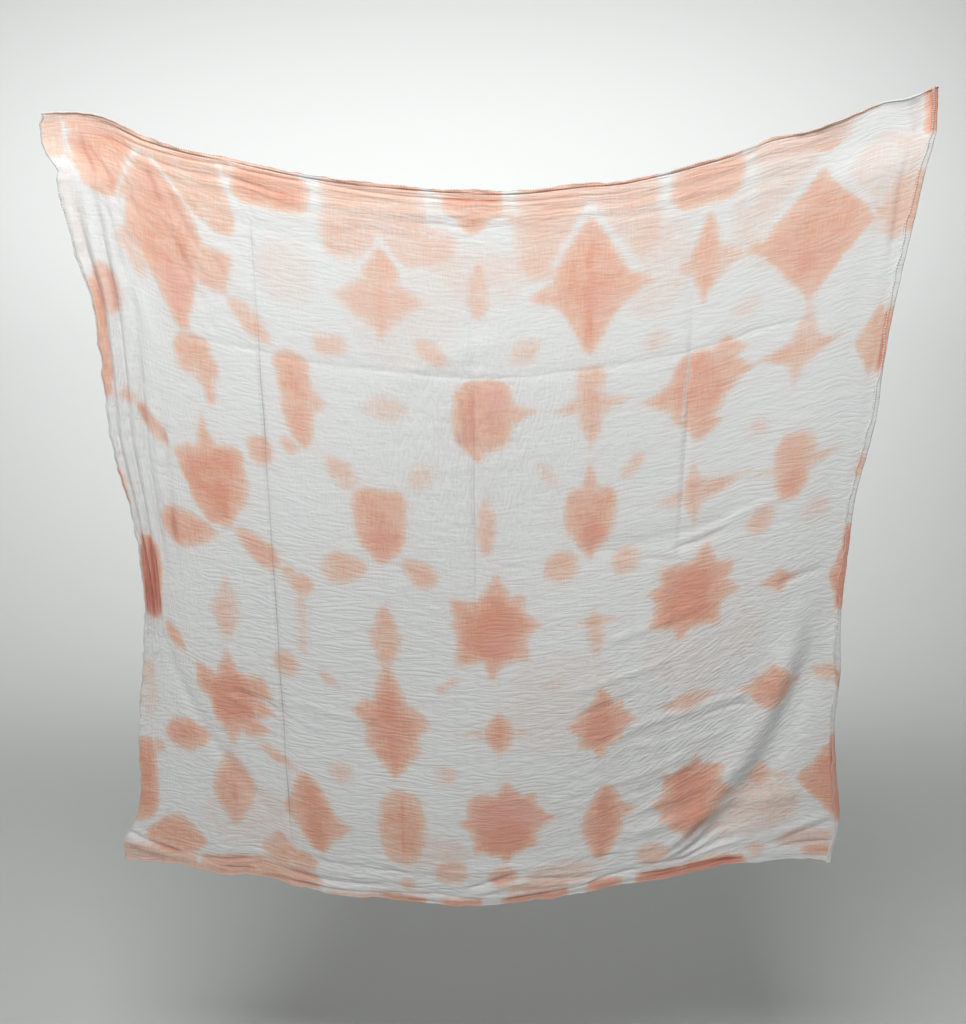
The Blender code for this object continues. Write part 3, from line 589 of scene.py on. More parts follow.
# Pale veils of dye: column, row, half width and half height in mm, power, strength.
VEILS = (
    (3.17, 0.44, 72, 64, 5.0, 0.42),
    (2.86, 0.62, 26, 34, 3.0, 0.50),
    (3.62, 0.66, 30, 30, 2.0, 0.34),
    (4.98, 0.24, 96, 34, 5.0, 0.50),
    (4.67, 0.54, 40, 66, 3.0, 0.40),
    (5.35, 0.60, 46, 52, 3.0, 0.30),
    (6.80, 0.16, 60, 26, 4.0, 0.34),
    (4.10, 0.89, 57, 41, 2.0, 0.13),
    (6.70, 0.75, 58, 82, 2.0, 0.14),
    (7.56, 0.80, 51, 65, 2.0, 0.15),
    (5.64, 0.94, 51, 71, 2.0, 0.12),
    (2.29, 1.02, 38, 46, 2.0, 0.07),
    (4.93, 6.74, 53, 23, 2.0, 0.20),
    (3.51, 6.40, 60, 31, 2.0, 0.12),
    (7.02, 6.36, 56, 44, 2.0, 0.20),
    (6.76, 6.45, 51, 40, 2.0, 0.15),
    (1.59, 6.34, 87, 55, 2.0, 0.08),
    (0.16, 5.19, 28, 39, 2.0, 0.10),
    (0.10, 0.96, 19, 65, 2.0, 0.08),
    (3.33, 1.14, 76, 95, 2.0, 0.05),
    (6.27, 4.49, 87, 66, 2.0, 0.05),
    (4.89, 4.85, 88, 84, 2.0, 0.05),
)

# White lines where a fold kept the dye out: column and row at each end, half width in mm.
WHITE_LINES = (
    (0.20, 0.16, 0.24, 0.52, 4),
    (0.92, 0.26, 0.63, 0.82, 5),
    (1.06, 0.28, 1.22, 0.45, 3.5),
    (1.20, 0.43, 1.53, 0.82, 3.5),
    (1.72, 0.14, 1.76, 0.36, 6),
    (1.76, 0.36, 1.84, 0.54, 4),
    (3.16, 0.64, 2.97, 0.90, 6),
    (3.16, 0.64, 3.36, 0.89, 6),
    (5.04, 0.33, 4.73, 0.84, 7),
    (5.04, 0.33, 5.46, 0.92, 7),
    (7.04, 0.40, 6.57, 1.01, 7),
    (7.03, 0.42, 7.53, 1.07, 5.5),
    (5.99, 1.70, 5.97, 2.36, 2.5),
    (1.14, 3.25, 1.43, 3.41, 3),
    (1.70, 3.29, 1.51, 3.44, 3),
    (0.93, 2.74, 1.03, 2.65, 2),
    (2.20, 2.39, 2.34, 2.46, 3),
    (2.60, 0.06, 2.61, 0.40, 9),
    (4.33, 0.06, 4.36, 0.31, 11),
    (3.59, 0.11, 3.63, 0.46, 9),
    (5.69, 0.05, 5.70, 0.41, 9),
    (6.41, 0.17, 6.43, 0.61, 9),
    (3.56, 5.05, 3.37, 5.25, 3),
)

# How far dye runs past an outline, for each mm of its softness, and the faint bloom beyond.
SPREAD = 2.1
BLOOM = 0.09
BLOOM_REACH = 11

# The dye is paler at the rim of a mark and deeper in its heart, this many mm in.
PALE_RIM = 0.90
DEEP_HEART = 1.12
HEART_DEPTH = 24

# How far the dye strayed from a true outline, and how often.
STRAY = 0.0032
STRAY_PITCH = 0.016

# The dye took paler near the top than at the foot.
TOP_SHARE = 0.78

# The mesh: lines each way, and where they crowd: place, half width, how much more.
SHEET_COLUMNS = 284
SHEET_ROWS = 350
CROWDED_COLUMNS = (
    (0.06, 0.090, 1.1),
    (1.08, 0.040, 0.8),
    (1.108, 0.014, 2.4),
    (0.28, 0.006, 2.4),
    (0.56, 0.008, 2.0),
    (0.84, 0.006, 2.0),
)
CROWDED_ROWS = (
    (0.015, 0.060, 1.8),
    (1.10, 0.045, 1.6),
    (0.28, 0.010, 0.7),
    (0.56, 0.010, 0.5),
    (0.84, 0.010, 0.5),
)

# The rolled hem and the thread loops that hold it.
HEM_RADIUS = 0.0011
HEM_BEHIND = 0.0005
HEM_SIDES = 6
HEM_STEP = 0.0018
STITCH_STEP = 0.0034
THREAD_RADIUS = 0.0003
STITCH_SIDES = 8
THREAD_SIDES = 4

# Colours, for shares of the full dye.
DYE_RAMP = (
    (0.00, (0.855, 0.868, 0.866)),
    (0.22, (0.868, 0.726, 0.685)),
    (0.48, (0.878, 0.608, 0.532)),
    (0.78, (0.880, 0.500, 0.390)),
    (1.00, (0.830, 0.390, 0.280)),
)
APRICOT = (0.88, 0.66, 0.48)
ROSE = (0.88, 0.50, 0.44)
# Painted shade: the colour that creases are darkened towards.
CREASE_SHADE = (0.42, 0.33, 0.31)
DEEP_RED = (0.56, 0.13, 0.09)
# Painted shade: the colour of the thin dark line along each upright press line.
SHADE = (0.34, 0.31, 0.31)

# A crease this deep holds as much dye as any, and gets the most painted shade.
CREASE_DEPTH = 0.0018

# The relief of the fine crinkle at which painted shade begins to darken a crease, and where that painted shade is
# darkest.
CREASE_SHADE_RELIEF = (0.80, 1.25)

# The angle of the slanting crinkle.
SLANT = math.radians(28)


def through(rows, at):
    """A smooth curve through rows of (position, value), read at some positions."""
    knots, values = np.array(rows, float).T
    slopes = np.gradient(values, knots)
    piece = np.clip(np.searchsorted(knots, at) - 1, 0, len(knots) - 2)
    span = knots[piece + 1] - knots[piece]
    q = np.clip((at - knots[piece]) / span, 0, 1)
    start = (1 + 2 * q) * (1 - q) ** 2 * values[piece] + q * (1 - q) ** 2 * span * slopes[piece]
    end = q**2 * (3 - 2 * q) * values[piece + 1] - q**2 * (1 - q) * span * slopes[piece + 1]
    return start + end


def ease(q):
    """0 up to q = 0, 1 from q = 1, smooth between."""
    q = np.clip(q, 0, 1)
    return q * q * (3 - 2 * q)


def wander(x, y, seed):
    """Smooth gradient noise, about -0.7 to 0.7, one feature to a unit."""
    angles = np.random.default_rng(seed).uniform(0, 2 * math.pi, (64, 64))
    left, low = np.floor(x).astype(int), np.floor(y).astype(int)
    right_share, up_share = x - left, y - low

    def corner(i, j):
        angle = angles[(left + i) % 64, (low + j) % 64]
        return np.cos(angle) * (right_share - i) + np.sin(angle) * (up_share - j)

    near = corner(0, 0) + ease(right_share) * (corner(1, 0) - corner(0, 0))
    far = corner(0, 1) + ease(right_share) * (corner(1, 1) - corner(0, 1))
    return near + ease(up_share) * (far - near)


def hung_share(down):
    """The share of the hung height that lies above a row of the flat cloth."""
    share = down / CUT
    return (1 + PLEATED_SHARE) * share - PLEATED_SHARE * (1 - np.exp(-share / PLEATED_REACH))


def off_the_pins(across, down):
    """0 on the flat corners, 1 away from them."""
    free = np.ones_like(across)
    for pin_across, pin_down in PINS:
        distance = np.hypot(across - pin_across, down - pin_down)
        free = free * ease((distance - PIN_FLAT) / (PIN_REACH - PIN_FLAT))
    return free


def fold(across, down, row, power=2):
    """How much of one fold is at each point, 0 to 1, and the fold's direction."""
    from_across, from_down, to_across, to_down, bow, half_width, _, _ = row
    length = math.hypot(to_across - from_across, to_down - from_down)
    along = ((to_across - from_across) / length, (to_down - from_down) / length)
    q = ((across - from_across) * along[0] + (down - from_down) * along[1]) / length
    side = (down - from_down) * along[0] - (across - from_across) * along[1]
    held = np.clip(q, 0, 1)
    side = side - 4 * bow * held * (1 - held)
    beyond = (q - held) * length
    near = np.exp(-(np.abs(side / half_width) ** power) - (beyond / half_width) ** 2)
    return near * (0.25 + 0.75 * ease(held / 0.2) * ease((1 - held) / 0.2)), along


def all_folds():
    """Every fold, each with the power of its profile: 2 is round, less is sharp."""
    rows = [(row, 2) for row in MAIN_FOLDS] + [(row, 1.3) for row in SHARP_FOLDS]
    for place, worn in zip(PRESS_FOLDS, (1.0, 0.35, 0.35)):
        rows.append(((place, 0.05, place, 1.07, 0, PRESS_WIDTH, UPRIGHT_PRESS_DEPTH, 0), 2))
        rows.append(((0.14, place, 1.06, place, 0, PRESS_WIDTH, worn * LEVEL_PRESS_DEPTH, 0), 2))
    return rows


def press_line(side, along, row, seed):
    """How far each point lies from a press line, and how worn the line is there."""
    place, start, end, wear = row
    middle = np.full_like(along, 0.5)
    worn = wear * np.clip(0.9 + 0.8 * wander(along / 0.13, middle, 60 + seed), 0.35, 1.3)
    worn = worn * ease((along - start) / 0.05) * ease((end - along) / 0.08)
    return side - place + 0.002 * wander(along / 0.07, middle, 70 + seed), worn


def press_lines(across, down):
    """Depth of the sharp lines left where the cloth lay folded."""
    half_width, depth = PRESS_LINE
    height = np.zeros_like(across)
    upright, level = PRESS_LINES
    for seed, row in enumerate(upright + level):
        side, along = (across, down) if row in upright else (down, across)
        off, worn = press_line(side, along, row, seed)
        height = height + depth * worn * np.exp(-(np.abs(off / half_width) ** 1.3))
    return height


def press_shade_guide(across, down):
    """How far each point is from the nearest upright press line, in mm, and its wear, to place the painted shade
    line along it.
    """
    off, wear = np.full(across.size, 99.0), np.zeros(across.size)
    for seed, row in enumerate(PRESS_LINES[0]):
        this_off, worn = press_line(across.ravel(), down.ravel(), row, seed)
        nearer = np.abs(this_off * 1000) < np.abs(off)
        off, wear = np.where(nearer, this_off * 1000, off), np.where(nearer, worn, wear)
    return np.stack([off, wear, np.zeros_like(off)], axis=-1)


def crinkle(across, down):
    """Height of the fine crinkle."""
    height = np.zeros_like(across)
    for seed, row in enumerate(CRINKLES):
        at_across, at_down, half_width, half_length, angle, length, spacing, tall = row
        turn = math.radians(angle)
        along = across * math.cos(turn) + down * math.sin(turn)
        side = down * math.cos(turn) - across * math.sin(turn)
        side = side + 0.5 * spacing * wander(along / length * 1.7, side / length, 40 + seed)
        ridges = 1 - 3.2 * np.abs(wander(along / length + 7.3, side / spacing, seed))
        patchy = 0.65 + 0.9 * wander(across / 0.09, down / 0.09, 80 + seed)
        window = np.exp(-(((across - at_across) / half_width) ** 2) - ((down - at_down) / half_length) ** 2)
        height = height + tall * window * np.clip(patchy, 0.1, 1.2) * ridges
    return height


def ruffle(along, seed):
    """The waviness of an overlocked edge, -1 to 1, at places along it."""
    middle = np.full_like(along, 0.5)
    return 1.1 * wander(along / 0.012, middle, seed) + 1.2 * wander(along / 0.034, middle + 9, seed)


def hung(across, down):
    """World points of the cloth, for arrays of flat positions."""
    lying = np.minimum(across, TURN_AT)
    share = hung_share(down)
    left_top, left_foot = LEFT_EDGE[-1][0], LEFT_EDGE[0][0]
    right_top, right_foot = RIGHT_EDGE[-1][0], RIGHT_EDGE[0][0]
    left = through(LEFT_EDGE, left_top + share * (left_foot - left_top)) - LEFT_EDGE[-1][1]
    right = through(RIGHT_EDGE, right_top + share * (right_foot - right_top)) - RIGHT_EDGE[-1][1]
    thread = through(THREADS, lying)
    x = thread + left * np.clip(1 - lying / EDGE_REACH, 0, 1) ** 2
    x = x + right * np.clip(1 - (TURN_AT - lying) / EDGE_REACH, 0, 1) ** 2
    z = (1 - share) * through(TOP_EDGE, thread) + share * through(BOTTOM_EDGE, x)

    free = off_the_pins(lying, down)
    depth = STAND_OFF * np.ones_like(x)
    for swell_across, swell_down, half_width, half_length, height in SWELLS:
        spread = ((lying - swell_across) / half_width) ** 2 + ((down - swell_down) / half_length) ** 2
        depth = depth + height * np.exp(-spread)
    for row, power in all_folds():
        there, along = fold(lying, down, row, power)
        height, lean = row[-2:]
        depth = depth + height * there
        x = x - free * lean * height * there * along[1]
        z = z - free * lean * height * there * along[0]
    depth = depth + crinkle(lying, down) + press_lines(lying, down)

    # The overlocked edges are a little longer than the cloth beside them.
    top, foot = np.exp(-((down / 0.007) ** 2)), np.exp(-(((CUT - down) / 0.008) ** 2))
    side = np.exp(-((lying / 0.011) ** 2))
    depth = depth + 0.0014 * (top * ruffle(lying, 21) + 1.6 * foot * ruffle(lying, 22) + side * ruffle(down, 23))
    z = z + 0.0014 * (top * ruffle(lying, 24) + foot * ruffle(lying, 25))
    x = x + 0.0024 * side * ruffle(down, 26)
    depth = THICKNESS / 2 + free * np.maximum(depth, 0)

    # The turned strip, fuller beside the right pin, where the corner is bunched.
    bunched = np.exp(-((down / 0.06) ** 2))
    radius = TURN_RADIUS * (0.8 + 1.4 * bunched)
    turn = np.clip((across - lying) / radius, 0, math.pi)
    narrowed = 0.40 + 0.55 * wander(down / 0.05, np.full_like(down, 0.5), 29)
    back = narrowed * np.maximum(across - lying - math.pi * radius, 0)
    x = x + radius * np.sin(turn) - back
    depth = depth + radius * (1 - np.cos(turn))
    over = ease((across - lying) / 0.006)
    depth = depth + 0.0007 * over * (1 + np.clip(ruffle(down, 27), -1, 1))
    x = x + 0.0014 * over * ruffle(down + 0.003, 28)
    return np.stack([x, -depth, z], axis=-1)


def crowded(places, count):
    """Positions from 0 to CUT that crowd together at the places that need it."""
    fine = np.linspace(0, CUT, 20001)
    density = np.ones_like(fine)
    for place, half_width, more in places:
        density += more * np.exp(-(((fine - place) / half_width) ** 2))
    total = np.concatenate([[0], np.cumsum((density[1:] + density[:-1]) / 2)])
    return np.interp(np.linspace(0, total[-1], count), total, fine)


def from_outline(across, down, column, row, half_wide, half_high, power, tilt=0, taper=0):
    """Roughly how many mm each point lies inside a mark's outline."""
    turn = math.radians(tilt)
    right = (across - column * FOLD_WIDE) * 1000
    below = (down - row * FOLD_HIGH) * 1000
    b = (below * math.cos(turn) - right * math.sin(turn)) / half_high
    half_wide = half_wide * (1 - taper * np.clip(b, -1, 1))
    a = np.abs(right * math.cos(turn) + below * math.sin(turn)) / half_wide
    a, b = np.maximum(a, 0.04), np.maximum(np.abs(b), 0.04)
    reach = (a**power + b**power) ** (1 / power)
    slope = np.hypot((a / reach) ** (power - 1) / half_wide, (b / reach) ** (power - 1) / half_high)
    return (1 - reach) / slope


def nearby(across, down, column, row, half_wide, half_high):
    """Which points are near enough to a mark to feel it."""
    reach = max(half_wide, half_high) / 1000 + 0.036
    return (abs(across - column * FOLD_WIDE) < reach) & (abs(down - row * FOLD_HIGH) < reach)


def dye(across, down):
    """How much dye there is at flat positions, 0 to about 1."""
    across, down = across.ravel(), down.ravel()
    amount = np.zeros_like(across)
    strayed = across + STRAY * wander(across / STRAY_PITCH, down / STRAY_PITCH, 91)
    strayed_down = down + STRAY * wander(across / STRAY_PITCH + 9, down / STRAY_PITCH, 92)
    for column, row, half_wide, half_high, *shape, strength, soft in MARKS:
        near = nearby(across, down, column, row, half_wide, half_high)
        inside = from_outline(strayed[near], strayed_down[near], column, row, half_wide, half_high, *shape)
        bloom = BLOOM * np.exp(np.minimum(inside, 0) / BLOOM_REACH)
        covered = np.maximum(ease(0.5 + inside / (2 * SPREAD * soft)), bloom)
        covered = covered * (PALE_RIM + (DEEP_HEART - PALE_RIM) * ease(inside / HEART_DEPTH))
        amount[near] = np.maximum(amount[near], strength * covered)
    for column, row, half_wide, half_high, power, strength in VEILS:
        near = nearby(across, down, column, row, half_wide, half_high)
        inside = from_outline(across[near], down[near], column, row, half_wide, half_high, power)
        amount[near] = np.maximum(amount[near], strength * ease(0.5 + inside / 26))
    for from_column, from_row, to_column, to_row, half_width in WHITE_LINES:
        start = np.array((from_column * FOLD_WIDE, from_row * FOLD_HIGH))
        run = np.array((to_column * FOLD_WIDE, to_row * FOLD_HIGH)) - start
        q = np.clip(((across - start[0]) * run[0] + (down - start[1]) * run[1]) / (run @ run), 0, 1)
        off = np.hypot(across - start[0] - q * run[0], down - start[1] - q * run[1]) * 1000
        amount = amount * (1 - 0.85 * np.exp(-((off / half_width) ** 2)))
    return amount * (TOP_SHARE + (1 - TOP_SHARE) * ease(down / 0.7))


def creases(across, down):
    """How deep in a sharp crease each point lies, 0 to 1."""
    depth = np.zeros_like(across)
    for row in SHARP_FOLDS:
        depth = depth + max(-row[6], 0) * fold(across, down, row, 1.3)[0]
    return np.clip(depth / CREASE_DEPTH, 0, 1)


def grain(across, down):
    """How much of the fine crinkle runs level, upright and aslant at each point."""
    across, down = across.ravel(), down.ravel()
    upright = 0.7 * np.exp(-(((across - 0.55) / 0.22) ** 2) - ((down - 0.38) / 0.22) ** 2)
    upright = np.maximum(upright, np.exp(-((across / 0.16) ** 2) - ((down - 0.50) / 0.36) ** 2))
    aslant = np.exp(-(((across - 0.90) / 0.20) ** 2) - ((down - 0.90) / 0.24) ** 2)
    level = (0.35 + 0.4 * ease((down - 0.25) / 0.6)) * (1 - 0.7 * upright) * (1 - 0.6 * aslant)
    return np.stack([level, upright, aslant], axis=-1)


def carry(mesh, across, down):
    """Gives a mesh the flat position, dye, creases and grain of each of its points."""
    for name, numbers in (("dye", dye(across, down)), ("creased", creases(across, down))):
        layer = mesh.attributes.new(name, "FLOAT", "POINT")
        layer.data.foreach_set("value", numbers.astype(np.float32).ravel())
    vectors = {
        "flat": np.stack([across.ravel(), down.ravel(), np.zeros(across.size)], axis=-1),
        "grain": grain(across, down),
        "lines": press_shade_guide(across, down),
    }
    for name, numbers in vectors.items():
        layer = mesh.attributes.new(name, "FLOAT_VECTOR", "POINT")
        layer.data.foreach_set("vector", numbers.astype(np.float32).ravel())


def add_node(tree, kind, inputs=None, **settings):
    """A node with its settings, and its inputs set to numbers or linked to sockets."""
    made = tree.nodes.new(kind)
    for name, value in settings.items():
        setattr(made, name, value)
    for key, value in (inputs or {}).items():
        if isinstance(value, bpy.types.NodeSocket):
            tree.links.new(value, made.inputs[key])
        else:
            made.inputs[key].default_value = value
    return made


def maths(tree, operation, *values):
    return add_node(tree, "ShaderNodeMath", dict(enumerate(values)), operation=operation).outputs[0]


def attribute(tree, name, output="Fac"):
    node = add_node(tree, "ShaderNodeAttribute", attribute_name=name, attribute_type="GEOMETRY")
    return node.outputs[output]


def noise(tree, flat, per_metre, detail=2.0, roughness=0.5, ridged=False):
    """Noise on the flat cloth, with its own count of features a metre each way."""
    place = add_node(tree, "ShaderNodeVectorMath", {0: flat, 1: (*per_metre, 1)}, operation="MULTIPLY")
    kind = "RIDGED_MULTIFRACTAL" if ridged else "FBM"
    inputs = {"Vector": place.outputs[0], "Scale": 1.0, "Detail": detail, "Roughness": roughness}
    if ridged:
        inputs["Offset"] = 1.0
    node = add_node(tree, "ShaderNodeTexNoise", inputs, noise_dimensions="2D", noise_type=kind)
    return node.outputs["Fac"]


def centred(tree, value, size):
    """Noise from 0 to 1 turned into -size to size."""
    return maths(tree, "MULTIPLY_ADD", value, 2 * size, -size)


def mixed(tree, share, first, second):
    node = add_node(tree, "ShaderNodeMix", data_type="RGBA")
    for socket, value in ((0, share), (6, first), (7, second)):
        if isinstance(value, bpy.types.NodeSocket):
            tree.links.new(value, node.inputs[socket])
        else:
            node.inputs[socket].default_value = value
    return node.outputs[2]


def gauze_material():
    material = bpy.data.materials.new("fold-dyed gauze")
    material.use_nodes = True
    tree = material.node_tree
    shader = tree.nodes["Principled BSDF"]
    output = tree.nodes["Material Output"]
    flat = attribute(tree, "flat", "Vector")

    # Threads take the dye unevenly, so streaks run both ways.
    weft = centred(tree, noise(tree, flat, (40, 480), 2.0), 1)
    warp = centred(tree, noise(tree, flat, (480, 40), 2.0), 1)
    threads = maths(tree, "ADD", weft, warp)
    blotches = centred(tree, noise(tree, flat, (26, 26), 3.0), 1)

    laid = attribute(tree, "dye")
    bare = maths(tree, "SUBTRACT", 1.0, laid)
    edge = maths(tree, "MULTIPLY", laid, bare)
    uneven = maths(tree, "MULTIPLY_ADD", threads, 0.12, 1.0)
    uneven = maths(tree, "MULTIPLY_ADD", blotches, 0.24, uneven)
    ragged = maths(tree, "MULTIPLY", maths(tree, "MULTIPLY_ADD", blotches, 0.8, threads), edge)
    taken = maths(tree, "MULTIPLY_ADD", ragged, 1.15, maths(tree, "MULTIPLY", laid, uneven))

    ramp = add_node(tree, "ShaderNodeValToRGB", {"Fac": taken})
    steps = ramp.color_ramp.elements
    while len(steps) < len(DYE_RAMP):
        steps.new(0.5)
    for step, (place, colour) in zip(steps, DYE_RAMP):
        step.position = place
        step.color = (*colour, 1)

    # The dye parts at its rim, yellower there and rosier inside.
    hue = noise(tree, flat, (8, 8), 2.0)
    yellow = maths(tree, "MULTIPLY", maths(tree, "MULTIPLY", edge, 3.0), hue)
    rosy = maths(tree, "MULTIPLY", maths(tree, "MAXIMUM", centred(tree, hue, 1.6), 0.0), laid)
    colour = mixed(tree, yellow, ramp.outputs[0], (*APRICOT, 1))
    colour = mixed(tree, rosy, colour, (*ROSE, 1))
    creased = attribute(tree, "creased")
    held = maths(tree, "MULTIPLY", maths(tree, "MULTIPLY", creased, laid), 0.80)
    colour = mixed(tree, held, colour, (*DEEP_RED, 1))
    # Painted shade: every sharp crease is darkened a little towards the crease shade colour.
    colour = mixed(tree, maths(tree, "MULTIPLY", creased, 0.10), colour, (*CREASE_SHADE, 1))
    # Painted shade: a thin dark line along each upright press line, as strong as the line is worn.
    line = add_node(tree, "ShaderNodeSeparateXYZ", {0: attribute(tree, "lines", "Vector")})
    off = maths(tree, "ABSOLUTE", line.outputs[0])
    on = add_node(tree, "ShaderNodeMapRange", {0: off, 1: 0.3, 2: 1.3, 3: 0.7, 4: 0.0})
    colour = mixed(tree, maths(tree, "MULTIPLY", on.outputs[0], line.outputs[1]), colour, (*SHADE, 1))

    # Crinkle too fine for the mesh, with painted shade darkening its creases, then the open weave.
    runs = add_node(tree, "ShaderNodeSeparateXYZ", {0: attribute(tree, "grain", "Vector")})
    turned = add_node(tree, "ShaderNodeVectorRotate", {"Vector": flat, "Angle": SLANT}, rotation_type="Z_AXIS")
    relief = maths(tree, "MULTIPLY", noise(tree, flat, (240, 240), 2.0), 0.34)
    for run, (place, per_metre) in enumerate(((flat, (32, 150)), (flat, (150, 38)), (turned.outputs[0], (34, 130)))):
        crease = noise(tree, place, per_metre, 1.6, 0.5, ridged=True)
        relief = maths(tree, "MULTIPLY_ADD", crease, runs.outputs[run], relief)
    bump = add_node(tree, "ShaderNodeBump", {"Height": relief, "Distance": 0.00055, "Strength": 1.0}, invert=True)
    tree.links.new(bump.outputs[0], shader.inputs["Normal"])
    # Painted shade: the sinks of the fine crinkle are darkened towards the crease shade colour.
    painted_sink_shade = add_node(tree, "ShaderNodeMapRange", {0: relief, 1: CREASE_SHADE_RELIEF[0], 2: CREASE_SHADE_RELIEF[1], 3: 0.0, 4: 0.09})
    colour = mixed(tree, painted_sink_shade.outputs[0], colour, (*CREASE_SHADE, 1))

    tree.links.new(colour, shader.inputs["Base Color"])
    shader.inputs["Roughness"].default_value = 0.9
    shader.inputs["Specular IOR Level"].default_value = 0.25
    shader.inputs["Sheen Weight"].default_value = 0.15
    shader.inputs["Sheen Roughness"].default_value = 0.6

    light_through = add_node(tree, "ShaderNodeBsdfTranslucent", {"Color": colour, "Normal": bump.outputs[0]})
    both = add_node(tree, "ShaderNodeMixShader", {0: 0.16, 1: shader.outputs[0], 2: light_through.outputs[0]})
    tree.links.new(both.outputs[0], output.inputs["Surface"])
    return material


def thread_material():
    material = bpy.data.materials.new("white thread")
    material.use_nodes = True
    tree = material.node_tree
    shader = tree.nodes["Principled BSDF"]
    twist = add_node(tree, "ShaderNodeTexNoise", {"Scale": 900.0, "Detail": 2.0})
    bump = add_node(tree, "ShaderNodeBump", {"Height": twist.outputs[0], "Distance": 0.0002})
    tone = mixed(tree, twist.outputs[0], (0.80, 0.80, 0.77, 1), (0.90, 0.90, 0.88, 1))
    tree.links.new(tone, shader.inputs["Base Color"])
    tree.links.new(bump.outputs[0], shader.inputs["Normal"])
    shader.inputs["Roughness"].default_value = 0.7
    shader.inputs["Sheen Weight"].default_value = 0.2
    return material


def add_mesh(name, points, faces, material):
    mesh = bpy.data.meshes.new(name)
    mesh.from_pydata(points.tolist(), [], faces)
    mesh.shade_smooth()
    mesh.materials.append(material)
    piece = bpy.data.objects.new(name, mesh)
    bpy.context.scene.collection.objects.link(piece)
    return piece


def make_sheet(material):
    columns = crowded(CROWDED_COLUMNS, SHEET_COLUMNS)
    rows = crowded(CROWDED_ROWS, SHEET_ROWS)
    across, down = np.meshgrid(columns, rows)
    wide = len(columns)
    corner = (np.arange(len(rows) - 1)[:, None] * wide + np.arange(wide - 1)).ravel()
    faces = np.stack([corner, corner + wide, corner + wide + 1, corner + 1], axis=-1)
    sheet = add_mesh("gauze_sheet", hung(across, down).reshape(-1, 3), faces.tolist(), material)
    carry(sheet.data, across, down)
    layer = sheet.data.uv_layers.new(name="flat_cloth")
    corners = faces.ravel()
    flat = np.stack([across.ravel()[corners] / CUT, 1 - down.ravel()[corners] / CUT], axis=-1)
    layer.data.foreach_set("uv", flat.astype(np.float32).ravel())
    return sheet


def round_the_edge(step):
    """Flat positions and world points all round the cloth, a step apart, and their frames."""
    count = round(4 * CUT / step)
    side, along = np.divmod(np.arange(count) * 4 / count, 1)
    side, along = side.astype(int), along * CUT
    full, none = np.full(count, CUT), np.zeros(count)
    across = np.choose(side, [along, full, CUT - along, none])
    down = np.choose(side, [none, along, full, CUT - along])
    points = hung(across, down) + (0, HEM_BEHIND, 0)
    forward = np.roll(points, -1, 0) - np.roll(points, 1, 0)
    forward /= np.linalg.norm(forward, axis=1, keepdims=True)
    front = np.array((0.0, -1.0, 0.0)) - forward * -forward[:, 1:2]
    front /= np.linalg.norm(front, axis=1, keepdims=True)
    return across, down, points, forward, front, np.cross(forward, front)


def ring_faces(rings, sides, closed):
    """Quads between rings of points, one after another, round a tube."""
    ring = np.arange(rings if closed else rings - 1)[:, None]
    side = np.arange(sides)
    following, beside = (ring + 1) % rings, (side + 1) % sides
    corners = [ring * sides + side, following * sides + side, following * sides + beside, ring * sides + beside]
    return np.stack([np.broadcast_to(c, (len(ring), sides)) for c in corners], axis=-1).reshape(-1, 4)


def make_hem(material):
    across, down, points, _, front, out = round_the_edge(HEM_STEP)
    turns = np.arange(HEM_SIDES) * 2 * math.pi / HEM_SIDES
    place = np.arange(len(points)) * HEM_STEP
    radius = HEM_RADIUS * (1 + 0.14 * np.cos(2 * math.pi * place / STITCH_STEP))
    round_it = front[:, None] * np.cos(turns)[:, None] + out[:, None] * np.sin(turns)[:, None]
    rings = points[:, None] + radius[:, None, None] * round_it
    faces = ring_faces(len(points), HEM_SIDES, True)
    hem = add_mesh("rolled_hem", rings.reshape(-1, 3), faces.tolist(), material)
    carry(hem.data, np.repeat(across, HEM_SIDES), np.repeat(down, HEM_SIDES))
    return hem


def make_stitches(material):
    _, _, points, forward, front, out = round_the_edge(STITCH_STEP)
    count = len(points)
    slant = 0.35 + 0.12 * wander(np.arange(count) * 0.9, np.full(count, 0.5), 31)
    turns = np.arange(STITCH_SIDES) * 2 * math.pi / STITCH_SIDES
    radius = HEM_RADIUS * 1.14 + THREAD_RADIUS * 0.6
    outward = front[:, None] * np.cos(turns)[:, None] + out[:, None] * np.sin(turns)[:, None]
    lean = (slant[:, None] * np.cos(turns) * radius)[..., None] * forward[:, None]
    middle = points[:, None] + radius * outward + lean
    round_thread = np.arange(THREAD_SIDES) * 2 * math.pi / THREAD_SIDES
    ahead = np.broadcast_to(forward[:, None], outward.shape)
    loops = middle[:, :, None] + THREAD_RADIUS * (
        outward[:, :, None] * np.cos(round_thread)[:, None] + ahead[:, :, None] * np.sin(round_thread)[:, None]
    )
    one = ring_faces(STITCH_SIDES, THREAD_SIDES, True)
    shift = np.arange(count)[:, None, None] * STITCH_SIDES * THREAD_SIDES
    return add_mesh("overlock_thread", loops.reshape(-1, 3), (one + shift).reshape(-1, 4).tolist(), material)


# The room: a pale floor that curves up far behind the cloth.
FLOOR_HEIGHT = -1.62
BACK_AT = 2.9
SWEEP_RADIUS = 1.1
HALF_WIDE = 4.5


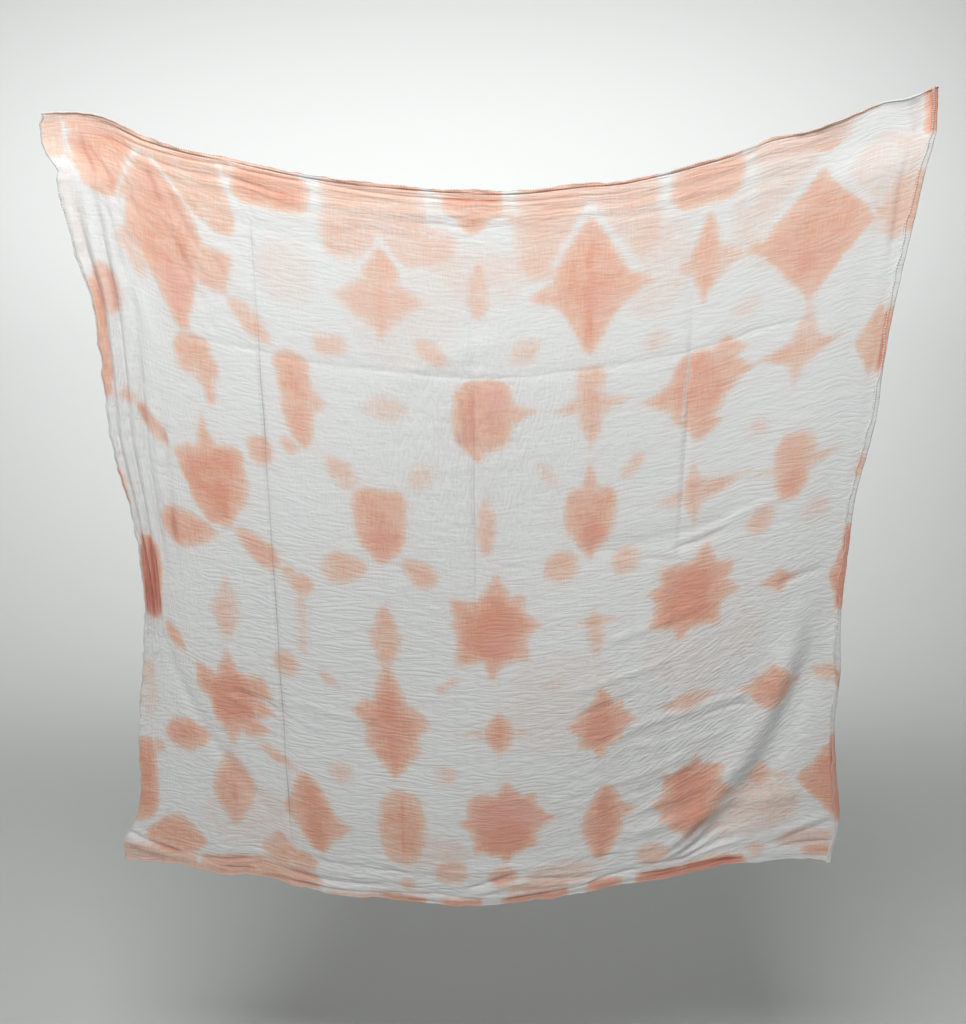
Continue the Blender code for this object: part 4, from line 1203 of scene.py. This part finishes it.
def make_stage():
    material = bpy.data.materials.new("pale stage")
    material.use_nodes = True
    shader = material.node_tree.nodes["Principled BSDF"]
    shader.inputs["Base Color"].default_value = (0.74, 0.755, 0.745, 1)
    shader.inputs["Roughness"].default_value = 0.95
    shader.inputs["Specular IOR Level"].default_value = 0.1
    profile = [(-3.5, FLOOR_HEIGHT)]
    for i in range(25):
        turn = i / 24 * math.pi / 2
        y = BACK_AT - SWEEP_RADIUS + SWEEP_RADIUS * math.sin(turn)
        profile.append((y, FLOOR_HEIGHT + SWEEP_RADIUS * (1 - math.cos(turn))))
    profile.append((BACK_AT, 3.2))
    points = np.array([(x, y, z) for y, z in profile for x in (-HALF_WIDE, HALF_WIDE)])
    faces = [(2 * i, 2 * i + 1, 2 * i + 3, 2 * i + 2) for i in range(len(profile) - 1)]
    stage = add_mesh("stage", points, faces, material)


def add_area_light(name, place, aim, size, watts, colour, spread=180):
    light = bpy.data.lights.new(name, "AREA")
    light.shape = "RECTANGLE"
    light.size, light.size_y = size
    light.energy = watts
    light.color = colour
    lamp = bpy.data.objects.new(name, light)
    lamp.location = place
    direction = np.array(aim) - np.array(place)
    pitch = math.atan2(math.hypot(direction[0], direction[1]), -direction[2])
    lamp.rotation_euler = (pitch, 0, math.atan2(direction[1], direction[0]) - math.pi / 2)
    light.spread = math.radians(spread)
    lamp.visible_camera = False
    bpy.context.scene.collection.objects.link(lamp)


def light_and_camera():
    scene = bpy.context.scene
    scene.view_settings.view_transform = "Standard"
    world = bpy.data.worlds.new("soft daylight")
    world.use_nodes = True
    sky = world.node_tree.nodes["Background"]
    sky.inputs["Color"].default_value = (0.99, 1.0, 1.0, 1)
    sky.inputs["Strength"].default_value = 0.17
    scene.world = world
    add_area_light("window", (-0.20, -1.06, 1.26), (-0.05, 0.0, 0.0), (1.1, 0.6), 42, (1.0, 1.0, 0.99))
    add_area_light("backdrop", (-0.3, 0.7, 0.6), (-0.3, 2.9, -0.2), (5.2, 0.8), 38, (1.0, 1.0, 1.0), 110)

    lens = bpy.data.cameras.new("camera")
    lens.sensor_width = 36
    lens.lens = 34.1
    camera = bpy.data.objects.new("camera", lens)
    camera.location = (0.0037, -1.2665, -0.0414)
    camera.rotation_euler = (math.radians(73.5), 0, 0)
    scene.collection.objects.link(camera)
    scene.camera = camera


def main():
    gauze = gauze_material()
    sheet = make_sheet(gauze)
    hem = make_hem(gauze)
    stitches = make_stitches(thread_material())
    for piece in (sheet, hem, stitches):
        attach(piece, "root")
    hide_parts("cloth")
    make_stage()
    light_and_camera()


main()
